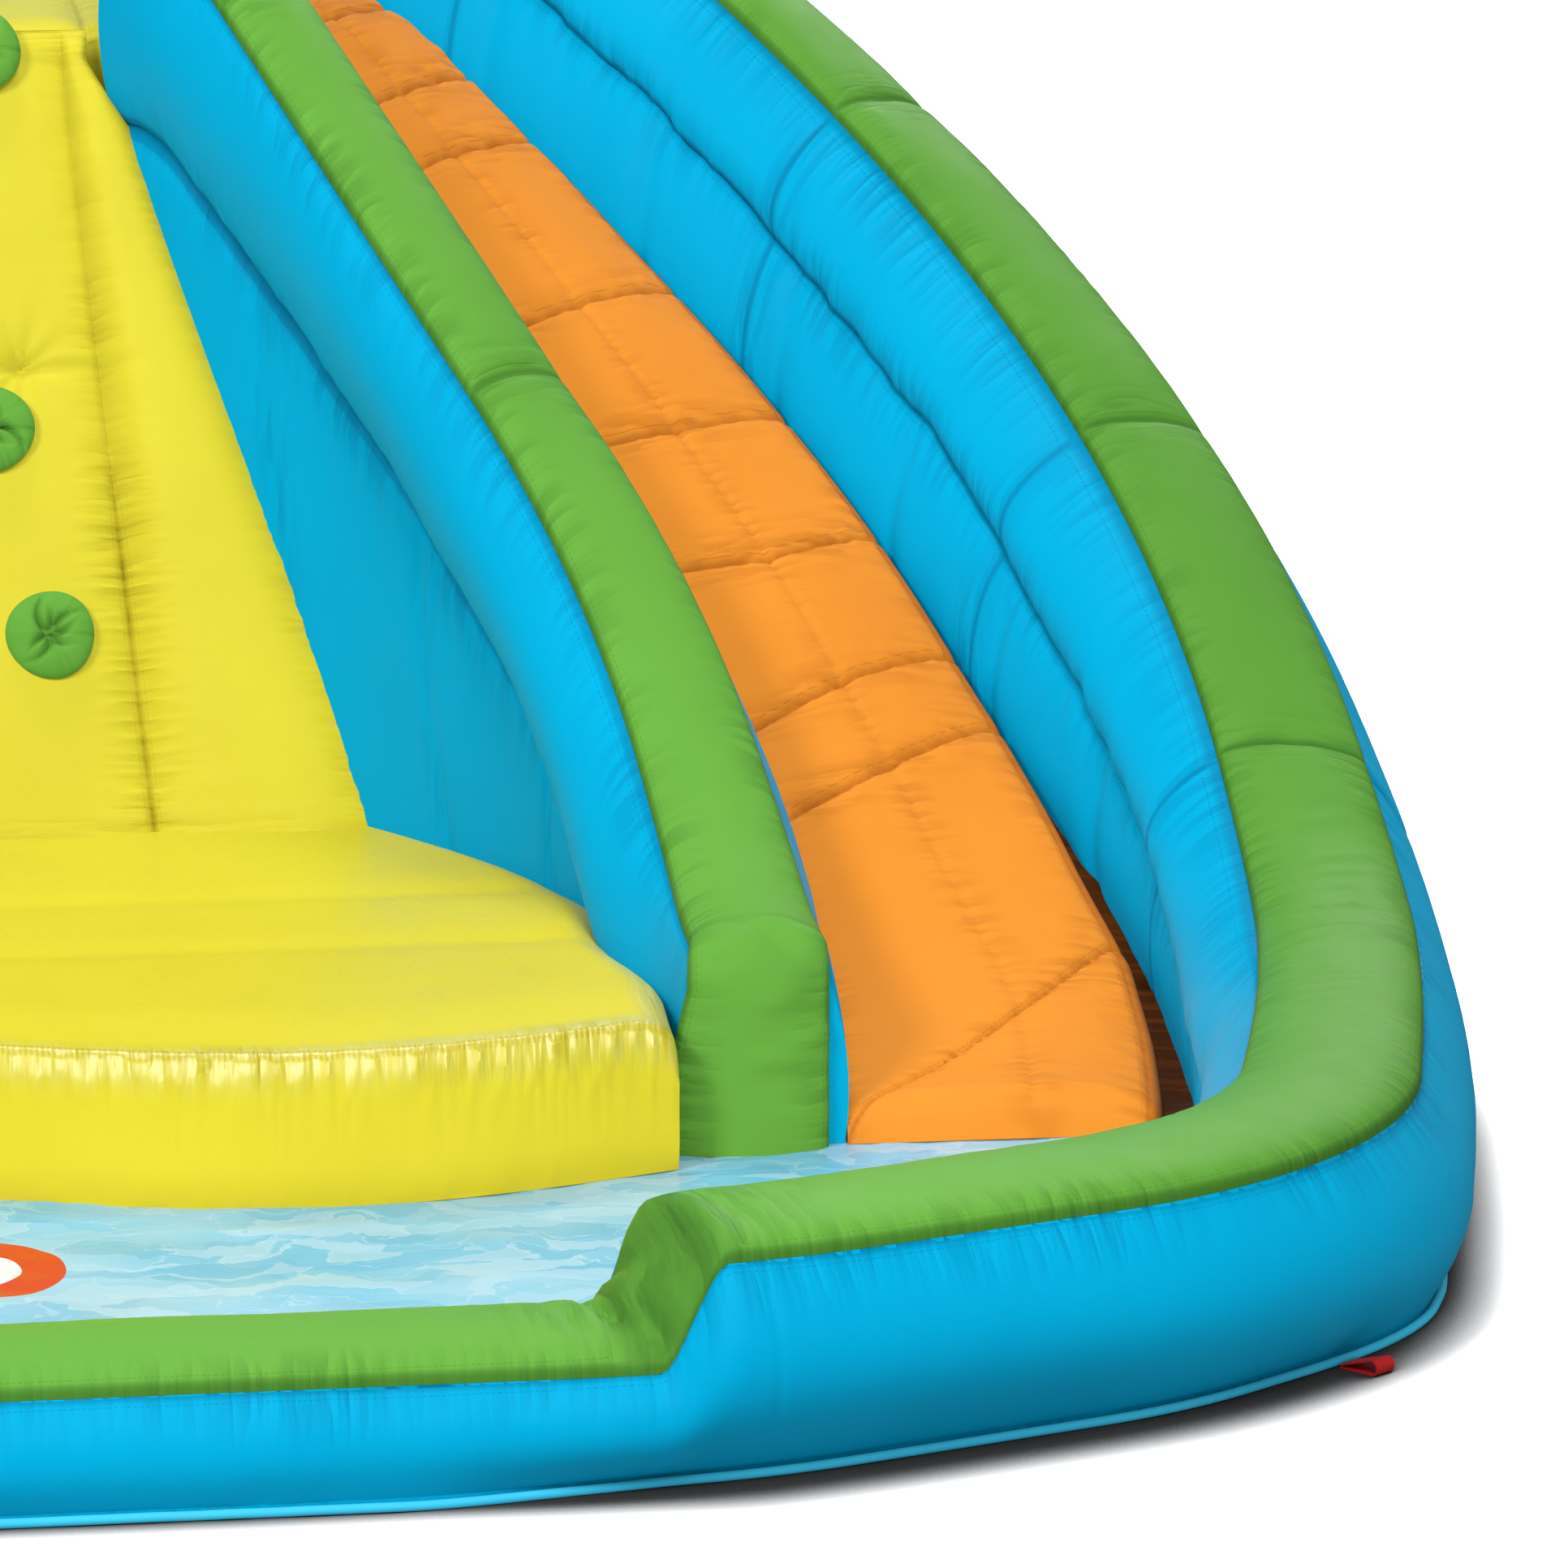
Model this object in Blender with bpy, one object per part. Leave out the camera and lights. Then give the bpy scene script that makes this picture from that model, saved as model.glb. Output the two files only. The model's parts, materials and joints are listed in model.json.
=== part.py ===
"""Inflatable double water slide with a splash pool, standing blown up and ready to use.

Metres, +Z up, the pool towards -Y. The origin is on the ground under the middle of the footprint.
The right half is worked out first and the left half is its mirror across X = 0. Walls follow routes
drawn on the ground; a place on a route is its distance along it and its distance aside, where
aside is positive towards the middle of the slide.
"""

import math

import bmesh
import bpy
from mathutils import Matrix, Vector

# Ground plan: the outer wall's centreline, from the middle of the front to the middle of the back
FRONT_WALL_Y = -2.154
FRONT_RUN = 0.75
FRONT_BEND_RADIUS = 1.008
FRONT_BEND_TURN = math.radians(19.9)
QUARTER_RUN = 0.357
CORNER_RADIUS = 0.734
CORNER_TURN = math.radians(56.5)
SIDE_RUN = 0.141
SIDE_BEND_LENGTH = 0.641
SIDE_BEND_TURN = math.radians(3.65)
SLIDE_BEND_RADIUS = 2.195
SLIDE_BEND_TURN = math.radians(54)
SHOULDER_RUN = 1.05
SHOULDER_TURN = math.radians(8)

# Heights of the sewn line under the green caps
LOW_SEAM_HEIGHT = 0.16
POOL_SEAM_HEIGHT = 0.30
TOP_SEAM_HEIGHT = 2.05
STEP_BEFORE_JOIN = 0.151
STEP_LENGTH = 0.095
STEP_SKEW = 0.021
RISE_LENGTH = 3.30
RISE_EASE_LENGTH = 0.50

# The outer wall's section
FRONT_CAP_WIDTH = 0.27
CORNER_CAP_WIDTH = 0.235
SLIDE_CAP_WIDTH = 0.20
CAP_CROWN = 0.042
CAP_EDGE = 0.006
BASE_HALF_WIDTH = 0.15
CORNER_BASE_HALF_WIDTH = 0.095
CORNER_BASE_START = 0.50
CORNER_BASE_END = 2.08
CORNER_BASE_EASE_LENGTH = 0.40
TUBE_DEPTH = 0.285
TUBE_BULGE = 0.06
HEM_HEIGHT = 0.015
PANEL_BULGE = 0.05
PANEL_FULL_HEIGHT = 0.50
PANEL_BAY = 0.56
PANEL_LEAST_SHARE = 0.4
GROOVE_ASIDE = 0.24
GROOVE_DEPTH = 0.17
GROOVE_BULGE = 0.045
LOWER_TUBE_DEPTH = 0.505
LOWER_TUBE_START_ASIDE = 0.25
LOWER_TUBE_ASIDE = 0.38
LOWER_TUBE_WIDENING_LENGTH = 1.55
LOWER_TUBE_BULGE = 0.06
GROOVE_START_RUN = 0.30
GROOVE_FULL_RUN = 0.35
UNDERGROUND = 0.10

# Where one sewn wall ends and the next begins, along the outer route
FRONT_WALL_HALF = 1.06
CAP_JOIN_RUN = 0.44
BACK_WALL_HALF = 0.63

# The inner wall between the climbing wall and the slide
INNER_BESIDE_LANDING = 0.138
INNER_START_BACK = 1.508
INNER_START_RUN = 0.21
INNER_HEADING = math.radians(91.7)
INNER_BEND_RADIUS = 1.363
INNER_BEND_TURN = math.radians(32.2)
INNER_CAP_WIDTH = 0.20
INNER_TOP_CAP_WIDTH = 0.17
INNER_BASE_HALF_WIDTH = 0.05
INNER_TOP_HALF_WIDTH = 0.09
INNER_TOP_RUN = 0.60
INNER_FOOT_HALF_WIDTH = 0.165
INNER_END_HALF_WIDTH = 0.11
INNER_FOOT_RUN = 1.05
INNER_SLIDE_HALF_WIDTH = 0.115
INNER_TUBE_DEPTH = 0.34
INNER_TUBE_BULGE = 0.075
INNER_END_BULGE = 0.02
INNER_PANEL_BULGE = 0.012
INNER_END_RUN = 0.25
INNER_END_RADIUS = 0.05
INNER_FREEBOARD = 0.25
INNER_TOP_FREEBOARD = 0.20

# The slide bed
BED_START_RUN = 0.02
BED_RUN = 2.77
BED_LIP = 0.05
BED_EASE_SHARE = 0.24
BED_TOP_EASE_SHARE = 0.10
BED_LEFT_ASIDE_SHARE = 0.145
BED_RIGHT_ASIDE_SHARE = 0.64
BED_CROWN = 0.035
BED_BAYS = 7
BED_SEAM_SHARE = 0.35
BED_PUFF_POWER = 0.6
BED_ROWS_PER_BAY = 3

# The climbing wall, its landing and the deck
CLIMB_FOOT_BACK = 2.648
CLIMB_INCLINE = math.radians(66)
CLIMB_SEAM_X = 0.40
CLIMB_TOP_SEAM_X = 0.30
CLIMB_CROWN = 0.055
CLIMB_SIDE_CROWN = 0.035
CLIMB_TOP_ROUND = 0.07
CLIMB_END_SHARE = 0.12
CLIMB_SIDE_PUFF_SHARE = 0.6
LANDING_HEIGHT = 0.235
LANDING_FRONT_BACK = 1.383
LANDING_LOBE = 0.135
LANDING_HALF_WIDTH = 1.07
LANDING_CROWN = 0.018
LANDING_ROUND = 0.035
LANDING_SIDE_FALL = 0.03
LANDING_SIDE_SHARE = 0.9
LANDING_SEAM_BACKS = (1.62, 1.95, 2.29, 2.48)
DECK_HEIGHT = 1.45
DECK_THICKNESS = 0.20
DECK_ROUND = 0.04
HOLD_RADIUS = 0.073
HOLD_THICKNESS = 0.050
HOLD_DIMPLE = 0.018
HOLD_SEAT_DEPTH = 0.006
HOLD_SEAT_REACH = 0.15
HOLD_EDGE_SHARE = 0.99
HOLD_X = (0.243, 0.150, 0.163)
HOLD_HEIGHTS = (0.546, 0.854, 1.405)
CENTRE_HOLD_HEIGHT = 1.13

# Sheets, hem and anchor loops at the ground
BASE_SHEET = 0.003
POOL_FLOOR_SHEET = 0.003
POOL_FLOOR_BACK = 1.70
PIPING_RADIUS = 0.0065
LOOP_WIDTH = 0.036
LOOP_REACH = 0.068
LOOP_RISE = 0.022
LOOP_STRAP = 0.003
LOOP_EYE_TURN = math.radians(112)
LOOP_EYE_POINTS = 9
LOOP_ROOT_POINTS = 9
LOOP_NECK_SHARE = 0.55
LOOP_RUNS = (1.84, 3.70, 4.95, 6.05)

GAP = 0.0003
WALL_GAP = 0.0005
FLOOR_TOP = BASE_SHEET + GAP + POOL_FLOOR_SHEET

# How finely each curved length is divided, and where the points of each section lie
FRONT_RINGS = 6
STEP_RINGS = 9
POOL_RINGS = 19
SLIDE_RINGS = 17
BACK_RINGS = 6
INNER_RINGS = 14
FLOOR_RINGS = 26
DECK_RIM_POINTS = 8
HOLD_FACETS = 16
HOLD_SEAT_FACETS = 24
HALVINGS = 40
OUTSIDE_TUBE_SHARES = (0, 0.12, 0.3, 0.5, 0.7, 0.88, 1)
PANEL_SHARES = (0.3, 0.65, 0.9, 1)
INSIDE_TUBE_SHARES = (1, 0.75, 0.5, 0.25, 0)
CAP_ASIDE_SHARES = (-1, -0.86, -0.6, -0.2, 0.2, 0.6, 0.86, 1)
INNER_TUBE_SHARES = (0, 0.15, 0.4, 0.65, 0.88, 1)
INNER_PANEL_SHARES = (0.3, 0.65, 1)
CAP_BEND_SHARES = (0.25, 0.5, 0.75, 1)
CAP_DROP_SHARES = (0.3, 0.65, 1)
BED_ACROSS_SHARES = (0, 0.125, 0.25, 0.375, 0.5, 0.625, 0.75, 0.875, 1)
CLIMB_CENTRE_SHARES = (0, 0.25, 0.5, 0.75, 0.92)
CLIMB_SIDE_SHARES = (0, 0.12, 0.35, 0.65, 1)
CLIMB_FACE_SHARES = (0, 0.08, 0.25, 0.5, 0.75, 0.95)
LANDING_ACROSS_SHARES = (0, 0.12, 0.28, 0.45, 0.62, 0.78, 0.9, 0.97, 1)
LANDING_ROUND_SHARES = (0, 1 / 3, 2 / 3, 1)
LANDING_PUFF_SHARES = (1 / 3, 2 / 3, 1)
# Shares of the deck's rounding: how far below its top, and how far in from its outline
DECK_ROUND_SHARES = ((1, 0), (0.25, 0.5), (0, 1.5))
# Shares of a grip's radius, its thickness and the depth of its dimple, from its back to its middle
HOLD_PROFILE_SHARES = (
    (0, 0, 0),
    (0.86, 0, 0),
    (1, 0.35, 0),
    (0.88, 0.8, 0),
    (0.55, 1, 0),
    (0.22, 1, 0.5),
    (0, 1, 1),
)
SHARP_ANGLE = math.radians(40)
MERGE = 0.00001


def linear(channel):
    """An sRGB channel, 0 to 255, as the linear value that a shader takes."""
    value = channel / 255
    return value / 12.92 if value <= 0.04045 else ((value + 0.055) / 1.055) ** 2.4


def make_material(name, red, green, blue, roughness, metallic=0.0):
    material = bpy.data.materials.new(name)
    material.use_nodes = True
    shader = material.node_tree.nodes["Principled BSDF"]
    shader.inputs["Base Color"].default_value = (linear(red), linear(green), linear(blue), 1)
    shader.inputs["Roughness"].default_value = roughness
    shader.inputs["Metallic"].default_value = metallic
    return material


class Route:
    """A line on the ground made of straight runs and arcs. legs holds (length, turn) pairs."""

    def __init__(self, x, y, heading, legs):
        self.legs = []
        self.length = 0.0
        for length, turn in legs:
            self.legs.append((self.length, x, y, heading, turn / length))
            x, y, heading = self.step(x, y, heading, turn / length, length)
            self.length += length

    @staticmethod
    def step(x, y, heading, bend, run):
        if bend == 0:
            return x + run * math.cos(heading), y + run * math.sin(heading), heading
        after = heading + bend * run
        return (
            x + (math.sin(after) - math.sin(heading)) / bend,
            y - (math.cos(after) - math.cos(heading)) / bend,
            after,
        )

    def at(self, along):
        """(x, y, heading) at a distance along the route."""
        leg = [leg for leg in self.legs if leg[0] <= along or leg[0] == 0][-1]
        start, x, y, heading, bend = leg
        return self.step(x, y, heading, bend, along - start)

    def where(self, y):
        """The distance along at which the route reaches a Y, found by halving."""
        low, high = 0.0, self.length
        for _ in range(HALVINGS):
            middle = (low + high) / 2
            if self.at(middle)[1] < y:
                low = middle
            else:
                high = middle
        return low

    def x_at(self, y):
        return self.at(self.where(y))[0]

    def beside(self, along, aside, height=0.0, side=1):
        """The point at a distance along and aside; side is -1 for the mirrored half."""
        x, y, heading = self.at(along)
        return Vector((side * (x - math.sin(heading) * aside), y + math.cos(heading) * aside, height))


def outer_legs():
    """The outer route's legs. Its last arc brings it square onto the middle plane at the back."""
    legs = [
        (FRONT_RUN, 0.0),
        (FRONT_BEND_RADIUS * FRONT_BEND_TURN, FRONT_BEND_TURN),
        (QUARTER_RUN, 0.0),
        (CORNER_RADIUS * CORNER_TURN, CORNER_TURN),
        (SIDE_RUN, 0.0),
        (SIDE_BEND_LENGTH, SIDE_BEND_TURN),
        (SLIDE_BEND_RADIUS * SLIDE_BEND_TURN, SLIDE_BEND_TURN),
        (SHOULDER_RUN, SHOULDER_TURN),
    ]
    start = Route(0, FRONT_WALL_Y, 0, legs)
    x, _, heading = start.at(start.length)
    return legs + [(x / math.sin(heading) * (math.pi - heading), math.pi - heading)]


OUTER = Route(0, FRONT_WALL_Y, 0, outer_legs())
STEP_START = FRONT_WALL_HALF - STEP_BEFORE_JOIN - STEP_LENGTH
SLIDE_START = OUTER.legs[6][0]
CLIMB_FOOT_Y = FRONT_WALL_Y + CLIMB_FOOT_BACK
DECK_FRONT_Y = CLIMB_FOOT_Y + (DECK_HEIGHT - LANDING_HEIGHT) / math.tan(CLIMB_INCLINE)
CAP_JOIN = SLIDE_START + CAP_JOIN_RUN
BACK_WALL_START = OUTER.length - BACK_WALL_HALF


def inner_route():
    """From the wall's free end in the pool, up past the climbing wall to the front of the deck."""
    legs = [(INNER_START_RUN, 0.0), (INNER_BEND_RADIUS * INNER_BEND_TURN, INNER_BEND_TURN)]
    x, y = LANDING_HALF_WIDTH + INNER_BESIDE_LANDING, FRONT_WALL_Y + INNER_START_BACK
    start = Route(x, y, INNER_HEADING, legs)
    _, last_y, heading = start.at(start.length)
    legs.append(((DECK_FRONT_Y - last_y) / math.sin(heading), 0.0))
    return Route(x, y, INNER_HEADING, legs)


INNER = inner_route()


def clamp(value):
    return min(max(value, 0.0), 1.0)


def smooth(value):
    value = clamp(value)
    return value * value * (3 - 2 * value)


def blend(first, last, share):
    return first + (last - first) * share


def climbed(share, ease, top_ease):
    """Share of a climb gained at a share of its run; the slope eases in and out over those shares."""
    share = clamp(share)
    low = min(share, ease)
    middle = min(max(share - ease, 0), 1 - ease - top_ease)
    high = max(share - 1 + top_ease, 0)
    gained = low * low / (2 * ease) + middle + high - high * high / (2 * top_ease)
    return gained / (1 - (ease + top_ease) / 2)


def seam_height(along):
    """Height of the outer wall's cap seam: low front, step, pool wall, then the rise to the deck."""
    step = smooth((along - STEP_START) / STEP_LENGTH)
    front = blend(LOW_SEAM_HEIGHT, POOL_SEAM_HEIGHT, step)
    ease = RISE_EASE_LENGTH / RISE_LENGTH
    rise = climbed((along - SLIDE_START) / RISE_LENGTH, ease, ease)
    return front + (TOP_SEAM_HEIGHT - POOL_SEAM_HEIGHT) * rise


def cap_half_width(along):
    corner = smooth((along - FRONT_WALL_HALF) / (SLIDE_START - FRONT_WALL_HALF))
    slide = smooth((along - SLIDE_START) / RISE_LENGTH)
    width = blend(FRONT_CAP_WIDTH, CORNER_CAP_WIDTH, corner)
    return blend(width, SLIDE_CAP_WIDTH, slide) / 2


def base_half_width(along):
    """Half width at the ground on the outside: the wall is tucked in round the front corner."""
    into = smooth((along - CORNER_BASE_START) / CORNER_BASE_EASE_LENGTH)
    out = smooth((CORNER_BASE_END - along) / CORNER_BASE_EASE_LENGTH)
    return blend(BASE_HALF_WIDTH, CORNER_BASE_HALF_WIDTH, into * out)


def bed_height(share):
    return blend(BED_LIP, DECK_HEIGHT, climbed(share, BED_EASE_SHARE, BED_TOP_EASE_SHARE))


def inner_seam_height(along):
    """Height of the inner wall's cap seam, a freeboard above the bed beside it."""
    share = along / INNER.length
    return bed_height(share) + blend(INNER_FREEBOARD, INNER_TOP_FREEBOARD, share)


def inner_cap_half_width(along):
    return blend(INNER_CAP_WIDTH, INNER_TOP_CAP_WIDTH, along / INNER.length) / 2


def spread(first, last, count):
    return [first + (last - first) * i / (count - 1) for i in range(count)]


def add_mesh(name, points, faces, material, collection):
    mesh = bpy.data.meshes.new(name)
    mesh.from_pydata([tuple(point) for point in points], [], faces)
    shape = bmesh.new()
    shape.from_mesh(mesh)
    bmesh.ops.recalc_face_normals(shape, faces=shape.faces)
    shape.to_mesh(mesh)
    shape.free()
    mesh.materials.append(material)
    mesh.shade_smooth()
    mesh.set_sharp_from_angle(angle=SHARP_ANGLE)
    obj = bpy.data.objects.new(name, mesh)
    collection.objects.link(obj)
    return obj


def loft(name, rings, material, collection, ends="flat"):
    """A closed solid through rings of equally many points.

    Every four-sided cell is split the same way, so that a piece and the tool made from it match.
    The ends are flat faces. Where an end ring is bent, they are a fan of triangles round its first
    point, or a strip of four-sided faces between the first and the second half of the ring.
    """
    count = len(rings[0])
    points = [point for ring in rings for point in ring]
    faces = []
    for first in (0, len(points) - count):
        final = first + count - 1
        if ends == "fan":
            faces += [(first, first + i, first + i + 1) for i in range(1, count - 1)]
        elif ends == "strip":
            faces += [(first + i, first + i + 1, final - i - 1, final - i) for i in range(count // 2 - 1)]
        else:
            faces.append(tuple(range(first, first + count)))
    for row in range(len(rings) - 1):
        for i in range(count):
            j = (i + 1) % count
            base = row * count
            faces.append((base + i, base + j, base + count + j))
            faces.append((base + i, base + count + j, base + count + i))
    return add_mesh(name, points, faces, material, collection)


def keep_as_cutter(obj):
    obj.hide_render = True
    obj.display_type = "WIRE"
    return obj


def box_cutter(name, low, high):
    bpy.ops.mesh.primitive_cube_add(size=1)
    box = bpy.context.object
    box.name = name
    box.location = [(a + b) / 2 for a, b in zip(low, high)]
    box.scale = [b - a for a, b in zip(low, high)]
    bpy.context.collection.objects.unlink(box)
    cutters.objects.link(box)
    return keep_as_cutter(box)


def cut(obj, *tools, solver="EXACT"):
    for tool in tools:
        boolean = obj.modifiers.new("cut " + tool.name, "BOOLEAN")
        boolean.operation = "DIFFERENCE"
        boolean.solver = solver
        boolean.object = tool


def outer_section(along, grow=0.0):
    """(aside, height) points round the outer wall: outside going down, under, and up the inside."""
    half = cap_half_width(along)
    high_out = seam_height(along - STEP_SKEW)
    high_in = seam_height(along + STEP_SKEW)
    depth = min(TUBE_DEPTH, high_out - HEM_HEIGHT)
    base = base_half_width(along)
    bulge = TUBE_BULGE * depth / TUBE_DEPTH
    tuck = (BASE_HALF_WIDTH - base) / 2
    points = []
    for share in OUTSIDE_TUBE_SHARES:
        aside = blend(half, base, share) + (bulge + tuck) * math.sin(math.pi * share)
        points.append((-aside - grow, high_out - depth * share))
    tall = high_out - depth - HEM_HEIGHT
    bay = abs(math.sin(math.pi * along / PANEL_BAY))
    swell = PANEL_BULGE * clamp(tall / PANEL_FULL_HEIGHT) * blend(PANEL_LEAST_SHARE, 1, bay)
    for share in PANEL_SHARES:
        aside = base + swell * math.sin(math.pi * share)
        points.append((-aside - grow, high_out - depth - max(tall, HEM_HEIGHT) * share))
    points.append((-base - grow, -UNDERGROUND))
    split = smooth((along - SLIDE_START + GROOVE_START_RUN) / GROOVE_FULL_RUN)
    tube_depth = min(blend(TUBE_DEPTH, GROOVE_DEPTH, split), high_in - HEM_HEIGHT)
    groove = blend(BASE_HALF_WIDTH, GROOVE_ASIDE, split)
    widening = smooth((along - SLIDE_START) / LOWER_TUBE_WIDENING_LENGTH)
    lower = blend(LOWER_TUBE_START_ASIDE, LOWER_TUBE_ASIDE, widening)
    lower = blend(BASE_HALF_WIDTH, lower, split)
    fall = LOWER_TUBE_DEPTH - GROOVE_DEPTH
    bottom = min(high_in - tube_depth - fall, 0) - UNDERGROUND
    points.append((lower + grow, bottom))
    for share in INSIDE_TUBE_SHARES[:-1]:
        aside = blend(groove, lower, share) + LOWER_TUBE_BULGE * split * math.sin(math.pi * share)
        points.append((aside + grow, high_in - tube_depth - fall * share))
    inside_bulge = blend(bulge, GROOVE_BULGE, split)
    for share in INSIDE_TUBE_SHARES:
        aside = blend(half, groove, share) + inside_bulge * math.sin(math.pi * share)
        points.append((aside + grow, high_in - tube_depth * share + grow * (share == 0)))
    return points


def cap_section(half, high_out, high_in, crown):
    """(aside, height) points round a cap: a flat underside on the wall's top and a round crown."""
    points = [(half, high_in + GAP), (-half, high_out + GAP)]
    for share in CAP_ASIDE_SHARES:
        base = blend(high_out, high_in, (share + 1) / 2)
        points.append((share * half, base + GAP + CAP_EDGE + crown * math.sqrt(1 - share * share)))
    return points


def outer_ring(along, points):
    """A section set upright across the outer route. A negative distance is on the left half."""
    side = -1 if along < 0 else 1
    return [OUTER.beside(abs(along), aside, height, side) for aside, height in points]


def outer_wall(name, stations, side, material, collection, grow=0.0):
    rings = []
    for along in stations:
        ring = outer_ring(abs(along), outer_section(abs(along), grow))
        flip = side if along >= 0 else -side
        rings.append([Vector((flip * point.x, point.y, point.z)) for point in ring])
    return loft(name, rings, material, collection)


def outer_cap(name, stations, side, collection):
    rings = []
    for along in stations:
        place = abs(along)
        high_out = seam_height(place - STEP_SKEW)
        high_in = seam_height(place + STEP_SKEW)
        points = cap_section(cap_half_width(place), high_out, high_in, CAP_CROWN)
        flip = side if along >= 0 else -side
        rings.append([Vector((flip * p.x, p.y, p.z)) for p in outer_ring(place, points)])
    return loft(name, rings, GREEN, collection)


def back_stations(half):
    """Stations across the middle of the back, from the right half to the left half."""
    right = spread(OUTER.length - half, OUTER.length, BACK_RINGS)
    return right + [-along for along in reversed(right[:-1])]


def front_stations(half):
    step = spread(STEP_START - STEP_SKEW, STEP_START + STEP_LENGTH + STEP_SKEW, STEP_RINGS)
    right = spread(0, step[0], FRONT_RINGS)[:-1] + step + [half]
    return [-along for along in reversed(right[1:])] + right


POOL_STATIONS = spread(FRONT_WALL_HALF + WALL_GAP, CAP_JOIN - WALL_GAP, POOL_RINGS)
SLIDE_STATIONS = spread(CAP_JOIN + WALL_GAP, BACK_WALL_START - WALL_GAP, SLIDE_RINGS)


def inner_top(along):
    """Height of the inner wall's flat top, rounded down at its free end."""
    into = max(INNER_END_RADIUS - along, 0)
    drop = INNER_END_RADIUS - math.sqrt(max(INNER_END_RADIUS ** 2 - into ** 2, 0))
    return inner_seam_height(max(along, INNER_END_RADIUS)) - drop


def inner_section(along, grow=0.0):
    """(aside, height) points round the inner wall: slide side going down, then up the climbing side."""
    half = inner_cap_half_width(along)
    high = inner_top(along)
    end = smooth(along / INNER_END_RUN)
    foot = smooth((along - INNER_END_RUN) / INNER_FOOT_RUN)
    depth = min(INNER_TUBE_DEPTH, high - HEM_HEIGHT)
    points = []
    bulge = blend(INNER_END_BULGE, INNER_TUBE_BULGE, end)
    for share in INNER_TUBE_SHARES:
        aside = blend(half, INNER_SLIDE_HALF_WIDTH, share) + bulge * math.sin(math.pi * share) / 2
        points.append((-aside - grow, high - depth * share + grow * (share == 0)))
    bottom = -UNDERGROUND
    points.append((-INNER_SLIDE_HALF_WIDTH - grow, bottom))
    base = blend(INNER_END_HALF_WIDTH, INNER_FOOT_HALF_WIDTH, end)
    base = blend(base, INNER_BASE_HALF_WIDTH, foot)
    base = blend(base, INNER_TOP_HALF_WIDTH, smooth((along - INNER.length + INNER_TOP_RUN) / INNER_TOP_RUN))
    tall = high - depth
    for share in reversed(INNER_PANEL_SHARES):
        height = blend(tall, bottom, share)
        swell = INNER_PANEL_BULGE * clamp(tall / PANEL_FULL_HEIGHT) * math.sin(math.pi * share)
        points.append((base + swell + grow, height))
    for share in reversed(INNER_TUBE_SHARES):
        aside = blend(half, base, share) + bulge * math.sin(math.pi * share)
        points.append((aside + grow, high - depth * share + grow * (share == 0)))
    return points


def inner_stations(extra=0.0):
    turns = [math.pi / 2 * share for share in reversed(CAP_BEND_SHARES)]
    end = [INNER_END_RADIUS * (1 - math.sin(turn)) for turn in turns]
    stations = end + spread(INNER_END_RADIUS, INNER.length, INNER_RINGS)
    return [stations[0] - extra] + stations[1:-1] + [stations[-1] + extra]


def inner_wall(name, side, material, collection, grow=0.0):
    rings = []
    for along in inner_stations(grow):
        section = inner_section(max(along, 0), grow)
        rings.append([INNER.beside(along, aside, height, side) for aside, height in section])
    return loft(name, rings, material, collection)


def inner_cap(name, side, collection, grow=0.0):
    """The cap over the inner wall, which folds down over its free end to the pool floor."""
    rings = []
    corner = INNER_END_RADIUS
    half = inner_cap_half_width(0) + grow
    crown = CAP_CROWN + grow * 2
    centre_height = inner_seam_height(corner) - corner
    folds = [(math.pi / 2 * share, 0) for share in CAP_BEND_SHARES]
    drop = centre_height - FLOOR_TOP - GAP + grow * 2
    folds += [(math.pi / 2, drop * share) for share in CAP_DROP_SHARES]
    for turn, down in reversed(folds):
        along = corner * (1 - math.sin(turn))
        _, _, heading = INNER.at(along)
        outward = Vector((-side * math.cos(heading), -math.sin(heading), 0)) * math.sin(turn)
        outward.z = math.cos(turn)
        ring = []
        for aside, height in cap_section(half, -grow, -grow, crown):
            level = centre_height - down + corner * math.cos(turn)
            ring.append(INNER.beside(along, aside, level, side) + outward * height)
        rings.append(ring)
    for along in spread(corner, INNER.length, INNER_RINGS):
        high = inner_seam_height(along) - grow
        points = cap_section(inner_cap_half_width(along) + grow, high, high, crown)
        rings.append([INNER.beside(along, aside, height, side) for aside, height in points])
    return loft(name, rings, GREEN, collection)


def slide_bed(name, side, collection):
    """A solid wedge between the two wall routes, level from side to side, with two puffed lanes."""
    rows = BED_BAYS * BED_ROWS_PER_BAY
    rings = []
    across = [0] + [blend(BED_LEFT_ASIDE_SHARE, BED_RIGHT_ASIDE_SHARE, s) for s in BED_ACROSS_SHARES]
    crowns = [0] + [abs(math.sin(2 * math.pi * share)) for share in BED_ACROSS_SHARES] + [0]
    for row in range(rows + 1):
        share = row / rows
        left = INNER.beside(share * INNER.length, 0, 0, side)
        right = OUTER.beside(SLIDE_START + BED_START_RUN + share * BED_RUN, 0, 0, side)
        wave = abs(math.sin(math.pi * share * BED_BAYS)) ** BED_PUFF_POWER
        puff = BED_CROWN * blend(BED_SEAM_SHARE, 1, wave)
        ring = []
        for place, crown in zip(across + [1], crowns):
            point = left.lerp(right, place)
            point.z = bed_height(share) + puff * crown
            ring.append(point)
        ring.append(Vector((right.x, right.y, FLOOR_TOP + GAP)))
        ring.append(Vector((left.x, left.y, FLOOR_TOP + GAP)))
        rings.append(ring)
    return loft(name, rings, ORANGE, collection)


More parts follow.
